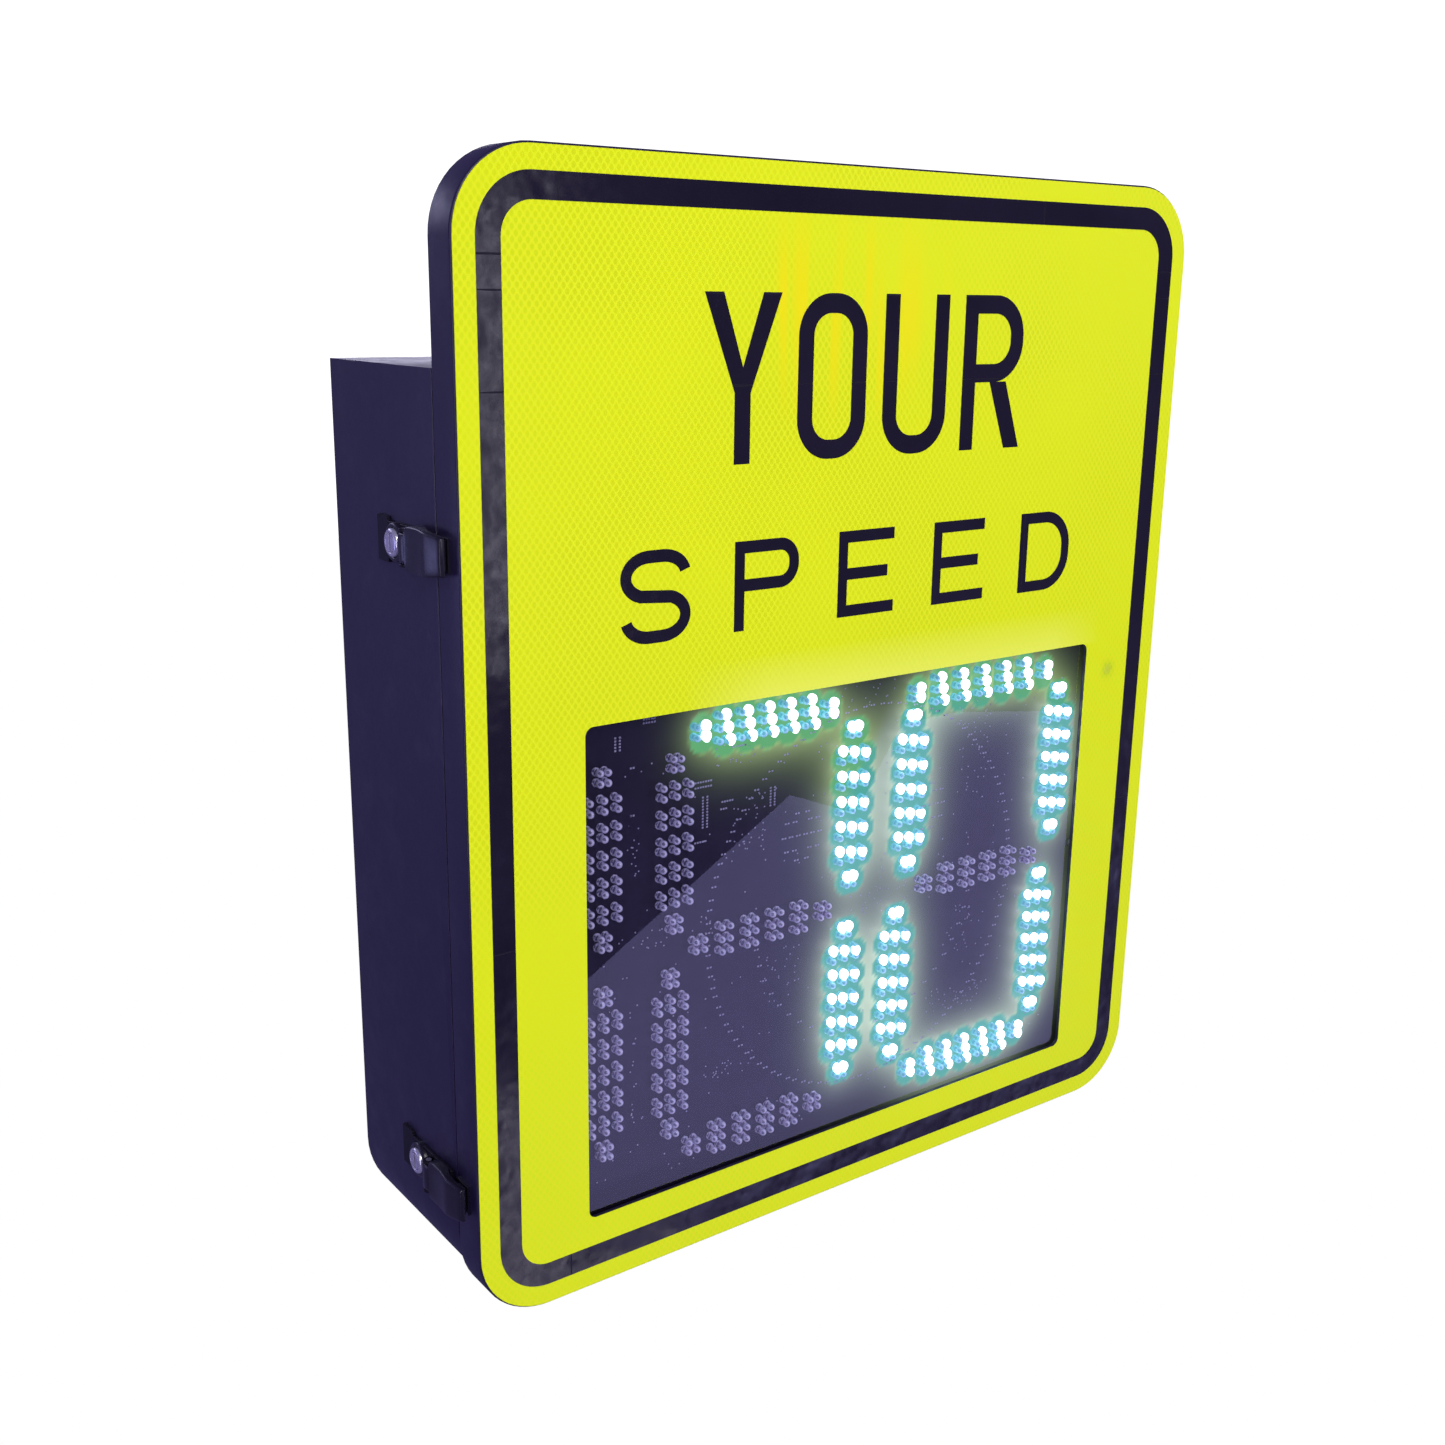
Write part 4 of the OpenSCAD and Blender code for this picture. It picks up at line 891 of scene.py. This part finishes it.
def cabinet_outline(inset):
    """Square top corners, bottom corners rounded like the sign's."""
    r = CABINET_CORNER - inset
    x, z0, z1 = CAB_HI.x - inset, CAB_LO.z + inset, CAB_HI.z - inset
    return [*arc(x - r, z0 + r, r, -90, 0), (x, z1), (-x, z1), *arc(-x + r, z0 + r, r, 180, 270)]


wall_profile = [
    (WALL, SEAM_Y), *arc(SEAM_FOLD, SEAM_Y + SEAM_FOLD, SEAM_FOLD, 270, 180, 3),
    *arc(BACK_FOLD, -BACK_FOLD, BACK_FOLD, 180, 90, 4), (WALL, 0.0), (WALL, -WALL),
]
walls = add_piece("cabinet_walls", loft(cabinet_outline, wall_profile), "navy_coat", "cabinet",
                  ["cabinet_left", "cabinet_right", "cabinet_top", "cabinet_floor"], angle=30)
mount_holes = [circle(sx * MOUNT_X, sz * MOUNT_Z, MOUNT_R) for sx in (-1, 1) for sz in (-1, 1)]
add_piece("cabinet_back_skin", prism(cabinet_outline(WALL), -WALL, 0.0, mount_holes),
          "navy_coat", "cabinet", ["cabinet_back"])

# ---------------- latches
# Sizes of the latch side are in millimetres: depths are behind the face, and out is away from the wall.
OUT_X = -HALF_W
LOCK_D, PIVOT_D = 75, 54
LOCK_Y, PIVOT_Y = FACE_Y + LOCK_D * MM, FACE_Y + PIVOT_D * MM
LOCK_OUT, PIVOT_OUT = 7.5, 7
SLOT_HALF, SLOT_END = 2.6, 6
LUG_Z, LUG_R, LUG_HALF = 10.4, 4.0, 0.9
LATCHES = ("upper", "lower")
INWARD, OUTWARD = (1, 0, 0), (-1, 0, 0)


def bar(z, out0, out1, depth0, depth1, half_z):
    """A block on the latch side, centred on height z."""
    return block(OUT_X - out0 * MM, OUT_X - out1 * MM, FACE_Y + depth0 * MM, FACE_Y + depth1 * MM,
                 z - half_z * MM, z + half_z * MM)


wall_holes = []
for tag in LATCHES:
    latch_z = middle("latch_base_" + tag).z
    wall_holes.append(turned((OUT_X, LOCK_Y, latch_z), INWARD, [(7.9, -2), (7.9, 5)], 40))
    wall_holes.append(bar(latch_z, 2, -5, PIVOT_D - 24, PIVOT_D - SLOT_END, SLOT_HALF))
for node_name, hole_r in (("solar_gland", 10.1), ("vent_plug", 6.1)):
    at = middle(node_name)
    wall_holes.append(turned((at.x, at.y, CAB_LO.z), (0, 0, 1), [(hole_r, -4), (hole_r, 8)], 40))
cut(walls, wall_holes)

# The lever's sections: depth, half width, how far out its top and its underside are.
LEVER = [
    (58.0, 7.0, 8.0, 5.6), (57.4, 8.8, 9.6, 4.0), (55.6, 9.1, 10.9, 3.4), (52.0, 9.1, 11.1, 3.4),
    (49.2, 9.2, 10.6, 3.4), (48.6, 12.4, 10.3, 3.4), (47.4, 13.4, 10.1, 3.4), (42.0, 13.9, 9.7, 3.4),
    (34.0, 13.9, 9.8, 3.4), (28.0, 13.6, 10.4, 5.4), (24.0, 13.3, 10.7, 6.0), (21.5, 13.0, 10.5, 6.0),
    (17.0, 12.5, 9.7, 5.6), (12.0, 11.8, 8.8, 4.7), (9.4, 11.4, 8.3, 4.6), (8.4, 11.1, 7.8, 4.7),
    (8.0, 10.7, 7.2, 5.0),
]
LEVER_EDGE = 1.5


def lever_mesh(cz):
    """The lever: a narrow neck that swells into a raised, tapering paddle over the seam."""
    verts = []
    for d, w, h, u in LEVER:
        r = min(LEVER_EDGE, (h - u) * 0.45)
        crown = [(-w * 0.5, h + 0.12), (0, h + 0.2), (w * 0.5, h + 0.12)]
        pts = [(-w, u), *arc(-w + r, h - r, r, 180, 90, 3), *crown, *arc(w - r, h - r, r, 90, 0, 3),
               (w, u), (w * 0.9, u), (-w * 0.9, u)]
        verts += [(OUT_X - out * MM, FACE_Y + d * MM, cz + z * MM) for z, out in pts]
    return verts, tube(len(LEVER), len(verts) // len(LEVER))


# Profiles of turned parts, radius and height: the boss out from the wall, the ring in from the lock's face.
BOSS = [(12.0, 0), (12.0, 4.1), (11.7, 4.8), (11.1, 5.3), (10.3, 5.5), (9.6, 5.5), (9.1, 5.1), (9.0, 3.4),
        (8.2, 3.3), (8.2, 0)]
RING = [(5.85, 0.45), (6.3, 0.0), (7.3, 0.0), (8.2, 0.45), (8.7, 1.4), (8.7, 4.0), (7.7, 4.0), (7.7, 14.5),
        (5.85, 14.5)]
# The staple's outline: along X from the wall, and height.
STAPLE = [(-5.5, -1.9), (10.9, -1.9), (10.9, 1.9), (10.1, 1.9), (10.1, -1.1), (6.6, -1.1), (6.6, 1.9),
          (-5.5, 1.9)]
PLUG_R, PLUG_FACE_T, KEYWAY_HALF = 5.7, 3.2, 1.1


def base_parts(cz, half):
    """The base plate, an outline with a slot toward the front, and the lugs that hold the pivot pin."""
    front, neck, back, slot_end = (-(FACE_Y + d * MM) for d in (32, 88, 102.5, PIVOT_D - SLOT_END))
    w, slot = 11.5 * MM, SLOT_HALF * MM
    top = [(slot_end, slot), (front, slot), (front, w), (neck, w), (neck, half), (back, half)]
    outline = [(a, -b) for a, b in top[::-1]] + top
    plate = prism(outline, -2.5 * MM, 0, [circle(-LOCK_Y, 0, 8.2 * MM)])
    parts = [place(plate, Matrix.Translation((OUT_X, 0, cz)) @ Matrix.Rotation(math.radians(-90), 4, "Z"))]
    for z in (cz - LUG_Z * MM, cz + LUG_Z * MM):
        ear = [(LUG_R, -LUG_HALF), (LUG_R, LUG_HALF)]
        parts.append(turned((OUT_X - PIVOT_OUT * MM, PIVOT_Y, z), (0, 0, 1), ear, 32))
        parts.append(bar(z, PIVOT_OUT, 2, PIVOT_D - LUG_R, PIVOT_D + LUG_R, LUG_HALF))
    return parts


def plug_parts(cz, face):
    """The plug's face as two halves with the keyway between them, its body and its square tail."""
    r = PLUG_R * MM
    a0 = math.degrees(math.asin(KEYWAY_HALF / PLUG_R))
    half = arc(0, 0, r, a0, 180 - a0, 20)
    inner = face + PLUG_FACE_T * MM
    return [*(slab_x([(LOCK_Y + s * b, cz + a) for a, b in half], face, inner) for s in (-1, 1)),
            turned((inner, LOCK_Y, cz), INWARD, [(PLUG_R, 0), (PLUG_R, 11.4)], 40),
            bar(cz, -7, -11, LOCK_D - 2.9, LOCK_D + 2.9, 2.9)]


def latch(tag):
    """Builds one latch: base, lever with its nose and staple, and lock with its ring, plug and a dark block
    of painted shade in its keyway.
    """
    lo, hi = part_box("latch_base_" + tag)
    cz = (lo.z + hi.z) / 2
    add_piece("latch_base_" + tag + "_cast", merge(*base_parts(cz, (hi.z - lo.z) / 2)),
              "latch_matte", "cabinet", ["latch_base_" + tag], bevel=0.6 * MM, segments=3)
    add_piece("latch_boss_" + tag, turned((OUT_X, LOCK_Y, cz), OUTWARD, BOSS, caps=False),
              "latch_black", "cabinet")
    # The nose catches the keeper, and the lock's cam passes through the staple.
    add_piece("latch_lever_" + tag + "_cast", merge(lever_mesh(cz), bar(cz, 7, 2.1, 12.2, 16.4, 9)),
              "latch_black", tag + "_lever", ["latch_lever_" + tag], bevel=0.3 * MM, angle=50)
    staple = [(OUT_X + a * MM, cz + b * MM) for a, b in STAPLE]
    add_piece("latch_staple_" + tag, prism(staple, PIVOT_Y - 12.9 * MM, PIVOT_Y - 8.1 * MM),
              "bright_fasteners", tag + "_lever", bevel=0.2 * MM)
    face = OUT_X - LOCK_OUT * MM
    ring = turned((face, LOCK_Y, cz), INWARD, RING, 56, loop=True)
    nut = turned((OUT_X + WALL, LOCK_Y, cz), INWARD, [(11, 0), (11, 3)], 6)
    add_piece("lock_ring_" + tag, merge(ring, nut), "lock_ring", "cabinet", ["lock_housing_" + tag],
              bevel=0.15 * MM, angle=40)
    add_piece("lock_plug_face_" + tag, merge(*plug_parts(cz, face)), "lock_chrome", tag + "_lock",
              ["lock_plug_" + tag], bevel=0.15 * MM)
    # A dark block in the keyway slot: painted shade of its depth.
    keyway = bar(cz, LOCK_OUT - 1.4, LOCK_OUT - 3.1, LOCK_D - KEYWAY_HALF, LOCK_D + KEYWAY_HALF, 5.2)
    add_piece("lock_keyway_shade_" + tag, keyway, "keyway", tag + "_lock")


for tag in LATCHES:
    latch(tag)

# ---------------- border and legend
STRIPE_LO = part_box("border_stripe")[0]
STRIPE_IN = STRIPE_LO.x + HALF_W
STRIPE_W = 15.6 * MM
add_piece("border_band",
          prism(sign_outline(STRIPE_IN), STRIPE_LO.y, FACE_Y, [sign_outline(STRIPE_IN + STRIPE_W)]),
          "film_black", "door", ["border_stripe"])


def bowl(x0, x1, z0, z1, r):
    """Outline of a shape with a straight left side and rounded right corners."""
    return [(x0, z0), *arc(x1 - r, z0 + r, r, -90, 0), *arc(x1 - r, z1 - r, r, 0, 90), (x0, z1)]


def ribbon(path, w):
    """Outline of a stroke of even width along a path, its ends cut square."""
    left, right = [], []
    for p, a, b in zip(path, path[:1] + path, path[1:] + path[-1:]):
        dx, dz = b[0] - a[0], b[1] - a[1]
        k = w / 2 / math.hypot(dx, dz)
        left.append((p[0] - dz * k, p[1] + dx * k))
        right.append((p[0] + dz * k, p[1] - dx * k))
    return left + right[::-1]


def glyph(kind, w, h, s):
    """One letter of stroke s as an outline and its holes, lower left corner at the origin."""
    r = w * 0.46
    if kind == "O":
        return round_rect(w, h, r, w / 2, h / 2), [round_rect(w - 2 * s, h - 2 * s, r - s, w / 2, h / 2)]
    if kind == "U":
        return [(0, h), *arc(r, r, r, 180, 270), *arc(w - r, r, r, 270, 360), (w, h), (w - s, h),
                *arc(w - r, r, r - s, 0, -90), *arc(r, r, r - s, 270, 180), (s, h)], []
    if kind == "D":
        br = min(w * 0.5, h * 0.46)
        return bowl(0, w, 0, h, br), [bowl(s, w - s, s, h - s, br - s)]
    if kind in "PR":
        z0, br = h * 0.44, h * 0.56 * 0.47
        outer = [(0, 0), (s, 0), (s, z0), *bowl(s, w, z0, h, br)[1:-1], (0, h)]
        if kind == "R":
            # The leg takes the place of the bowl's first point.
            outer[3:4] = [(r, z0), (w - s * 1.12, 0), (w + s * 0.08, 0), (r + s * 1.28, z0 + 0.02 * s)]
        return outer, [bowl(s, w - s, z0 + s, h - s, br - s)]
    if kind == "E":
        m0, m1 = (h - s) / 2, (h + s) / 2
        foot, arm, head = w * 0.96, w * 0.84, w * 0.94
        return [(0, 0), (foot, 0), (foot, s), (s, s), (s, m0), (arm, m0), (arm, m1), (s, m1), (s, h - s),
                (head, h - s), (head, h), (0, h)], []
    if kind == "Y":
        c, f = w / 2, h * 0.42
        return [(c - s / 2, 0), (c + s / 2, 0), (c + s / 2, f), (w + s * 0.08, h), (w - s * 1.08, h),
                (c, f + s * 1.25), (s * 1.08, h), (-s * 0.08, h), (c - s / 2, f)], []
    # S: two bowls joined by a slanting middle, its ends cut square.
    q, rz = s / 2, (h - s) / 4
    rx = min(w * 0.40, rz * 1.35)
    right, left, high, low = w - q - rx, q + rx, h - q - rz, q + rz
    turns = ((right, high, 12, 90), (left, high, 90, 248), (right, low, 68, -90), (left, low, -90, -168))
    return ribbon([p for x, z, a0, a1 in turns for p in arc(x, z, rx, a0, a1, 20, rz)], s), []


def legend(name, word, w, h, s, gap, z_mid, replaces):
    """A word of film letters, sizes in millimetres, centred on the sign."""
    parts = []
    pitch = w + gap
    for i, kind in enumerate(word):
        left = i * pitch - (len(word) * pitch - gap) / 2
        outer, holes = glyph(kind, w, h, s)
        loops = [[((left + x) * MM, z_mid + (z - h / 2) * MM) for x, z in loop] for loop in (outer, *holes)]
        parts.append(prism(loops[0], STRIPE_LO.y, FACE_Y, loops[1:]))
    add_piece(name, merge(*parts), "film_black", "door", [replaces])


legend("legend_line_upper", "YOUR", 57, 104, 12.3, 15, PAN_HI.z - 130 * MM, "legend_upper")
legend("legend_line_lower", "SPEED", 52, 58, 7.9, 34, PAN_HI.z - 259.5 * MM, "legend_lower")

# ---------------- window
TAPE_LO, TAPE_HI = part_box("window_tape")
pane_edge = round_rect(PANE_HI.x - PANE_LO.x, PANE_HI.z - PANE_LO.z, 8 * MM, WIN_C.x, WIN_C.z)
tape_hole = round_rect(WIN_W + 1 * MM, WIN_H + 1 * MM, WIN_R + 0.5 * MM, WIN_C.x, WIN_C.z)
add_piece("window_pane_clear", prism(pane_edge, PANE_LO.y, PANE_HI.y),
          "pane_clear", "door", ["window_pane"], bevel=0.3 * MM)
add_piece("window_tape_ring", prism(pane_edge, TAPE_LO.y, TAPE_HI.y, [tape_hole]),
          "black_rubber", "door", ["window_tape"])

# ---------------- cable gland under the floor


def ribbed(profile, ribs, depth, n=96):
    """A turned cap in millimetres. Its side carries shallow grip ribs, as much as the third value says."""
    verts = []
    for radius, h, ribbing in profile:
        for a in angles(n):
            r = (radius - depth * ribbing * (0.5 - 0.5 * math.cos(a * ribs)) ** 2) * MM
            verts.append((r * math.cos(a), r * math.sin(a), h * MM))
    return verts, skin(len(profile), n)


gland_cap = ribbed([(4.5, 8, 0), (11.3, 8, 0), (11.5, 8.6, 1), (11.5, 19, 1), (10.9, 21.5, 0.6),
                    (9.4, 23.4, 0), (7.6, 24.0, 0), (6.4, 23.8, 0), (5.8, 22.6, 0), (4.6, 22.2, 0),
                    (4.5, 8, 0)], 18, 1.1)
gland_body = lathe([(13.9, 0.3), (13.9, 7.5), (12.8, 8.0), (4.6, 8.0), (4.6, 0.3)], 6, loop=True)
gland_stem = lathe([(4.6, -14), (10, -14), (10, 0.3)], caps=False)
gland = middle("solar_gland")
down = along((gland.x, gland.y, CAB_LO.z), (0, 0, -1))
add_piece("gland_moulded", place(merge(gland_cap, gland_body, gland_stem), down),
          "nylon_black", "cabinet", ["solar_gland"], bevel=0.25 * MM)

# ---------------- battery leads


def cable(points, r, bend_r=5.5 * MM, n=14):
    """A round cable along straight runs joined by soft bends. Its points are in millimetres."""
    pts = [Vector(p) * MM for p in points]
    path = [pts[0]]
    for a, b, c in zip(pts, pts[1:], pts[2:]):
        start, end = b + (a - b).normalized() * bend_r, b + (c - b).normalized() * bend_r
        path += [start.lerp(b, t / 6).lerp(b.lerp(end, t / 6), t / 6) for t in range(7)]
    path.append(pts[-1])
    verts = []
    side = (path[1] - path[0]).orthogonal().normalized()
    for p, a, b in zip(path, path[:1] + path, path[1:] + path[-1:]):
        run = (b - a).normalized()
        side = (side - run * side.dot(run)).normalized()
        other = run.cross(side)
        verts += [p + (side * math.cos(t) + other * math.sin(t)) * r for t in angles(n)]
    return verts, tube(len(path), n)


POST_X, POST_Y, POST_Z, RUN_Z, PORT_Z = 70, -90, -119.8, -100, 67.8
LEAD_R = 2.5 * MM
red_run = [(-POST_X, POST_Y, POST_Z), (-POST_X, POST_Y, RUN_Z), (-POST_X, -32, RUN_Z), (-165, -32, RUN_Z),
           (-165, -32, PORT_Z)]
black_run = [(POST_X, POST_Y, POST_Z), (POST_X, POST_Y, RUN_Z), (POST_X, -44, RUN_Z), (-145, -44, RUN_Z),
             (-145, -32, RUN_Z), (-145, -32, PORT_Z)]
add_piece("battery_lead_red", cable(red_run, LEAD_R), "lead_insulation", "cabinet", ["battery_leads"],
          angle=50)
add_piece("battery_lead_black", cable(black_run, LEAD_R), "lead_black", "cabinet", angle=50)
lug = lathe([(5.7, 0), (6.0, 0.3), (6.0, 2.6), (5.6, 3.0)], 32)
lugs = [place(lug, Matrix.Translation((x * MM, POST_Y * MM, POST_Z * MM))) for x in (-POST_X, POST_X)]
add_piece("battery_lead_lugs", merge(*lugs), "battery_lead_metal", "cabinet")

# ---------------- finish on the remaining CAD nodes
slot_for = {p["node"]: p["material_slot"] for p in frame["record"]["subparts"]}
for node_name, obj in frame["nodes"].items():
    mat = MATERIALS.get(slot_for.get(node_name))
    if mat is None:
        continue
    obj.data.materials.clear()
    obj.data.materials.append(mat)
    obj.data.polygons.foreach_set("material_index", [0] * len(obj.data.polygons))

# ---------------- stage, light and camera
WHITE = (1.0, 1.0, 1.0)
FLOOR_Z, FLOOR_HALF, DOME_R = -1.15, 12, 9
EYE = Vector((-0.71451, -0.97734, 0.34532))


def stage_mesh(name, part, color, strength, hide):
    """A glowing stage piece, left out of the kinds of light that hide names."""
    s = Shader(name + "_glow", color, 1.0)
    glow = s.node("ShaderNodeEmission", {"Color": color, "Strength": strength}).outputs[0]
    s.feed(s.tree.nodes["Material Output"].inputs["Surface"], glow)
    s.tree.nodes.remove(s.bsdf)
    obj = mesh_object(name, part, s.mat)
    for kind in hide:
        setattr(obj, "visible_" + kind, False)


# The camera sees the floor and the backdrop, which throw no light or shadow on the object.
UNSEEN = ("glossy", "diffuse", "shadow", "transmission")
floor = [(x * FLOOR_HALF, y * FLOOR_HALF, FLOOR_Z) for x, y in ((-1, -1), (1, -1), (1, 1), (-1, 1))]
stage_mesh("floor", (floor, [(0, 1, 2, 3)]), WHITE, 1.0, UNSEEN)
rings, sides = 16, 48
dome = [(DOME_R * math.cos(t) * math.cos(a), DOME_R * math.cos(t) * math.sin(a), DOME_R * math.sin(t))
        for t in (math.pi * (k / rings - 0.5) for k in range(rings + 1)) for a in angles(sides)]
stage_mesh("backdrop", (dome, skin(rings + 1, sides)), WHITE, 1.2, UNSEEN)


def reflected(name, outline, y, color, strength):
    """A glowing card out of view, placed so that its mirror image in the face fills this outline of it."""
    mirrored_y = 2 * FACE_Y - EYE.y
    k = (y - mirrored_y) / (FACE_Y - mirrored_y)
    pts = [(EYE.x + (px * MM - EYE.x) * k, y, EYE.z + (pz * MM - EYE.z) * k) for px, pz in outline]
    stage_mesh(name, (pts, [tuple(range(len(pts)))]), color, strength, ("camera", "diffuse", "shadow"))


reflected("card_window", [(-226, -258), *MIRRORED_TOP, (228, -258)], -1.5, (0.46, 0.43, 0.94), 1.80)
reflected("card_border", [(-296, 400), (-296, 120), (-262, 150), (-262, 400)],
          -1.6, (0.86, 0.82, 1.0), 2.6)
reflected("card_corner", [(-296, -138), (-296, -330), (-120, -330), (-120, -300), (-262, -292), (-262, -142)],
          -1.6, (0.84, 0.78, 1.0), 2.2)

scene = bpy.context.scene
world = bpy.data.worlds.new("soft_sky")
scene.world = world
world.use_nodes = True
sky = world.node_tree.nodes["Background"].inputs
sky["Color"].default_value = (0.42, 0.36, 0.95, 1.0)
sky["Strength"].default_value = 0.25


def area(name, location, target, size, power, color=WHITE, size_y=None):
    data = bpy.data.lights.new(name, "AREA")
    data.energy = power
    data.color = color
    data.size = size
    if size_y:
        data.shape = "RECTANGLE"
        data.size_y = size_y
    obj = bpy.data.objects.new(name, data)
    obj.location = location
    obj.rotation_euler = (Vector(target) - Vector(location)).to_track_quat("-Z", "Y").to_euler()
    scene.collection.objects.link(obj)
    obj.visible_camera = False
    return obj


area("key", (-1.2, -3.6, 2.4), (0, 0, 0.1), 2.4, 84)
area("fill_right", (3.0, -2.6, 1.0), (0, 0, 0.1), 2.0, 30, (0.95, 0.96, 1.0)).visible_glossy = False
area("left_strip", (-2.8, -1.7, -0.1), (-0.3, -0.15, 0.0), 0.5, 14, (0.86, 0.84, 1.0), 2.4)
area("lever_glint", (-1.85, 1.12, -0.1), (-0.31, -0.15, 0.1), 0.6, 2.3, (0.45, 0.45, 1.0))
area("edge_glint", (-1.3, 2.35, 1.15), (-0.31, -0.1, 0.0), 1.7, 7.0, (0.7, 0.7, 1.0), 0.6)
area("sky_behind", (2.9, 4.4, 1.0), (0, 0, 0.3), 3.6, 43, (0.82, 0.81, 1.0), 1.3)

camera = bpy.data.cameras.new("camera")
camera.lens = 40.0
camera.sensor_width = 36.0
camera.clip_start = 0.05
camera.clip_end = 50
cam = bpy.data.objects.new("camera", camera)
scene.collection.objects.link(cam)
scene.camera = cam
forward = Vector((0.57266, 0.77753, -0.25981)).normalized()
up = Vector((0.80728, -0.59001, 0.01365)).cross(forward).normalized()
right = forward.cross(up).normalized()
cam.matrix_world = Matrix.Translation(EYE) @ Matrix((right, up, -forward)).transposed().to_4x4()

scene.view_settings.view_transform = "Standard"
scene.view_settings.look = "None"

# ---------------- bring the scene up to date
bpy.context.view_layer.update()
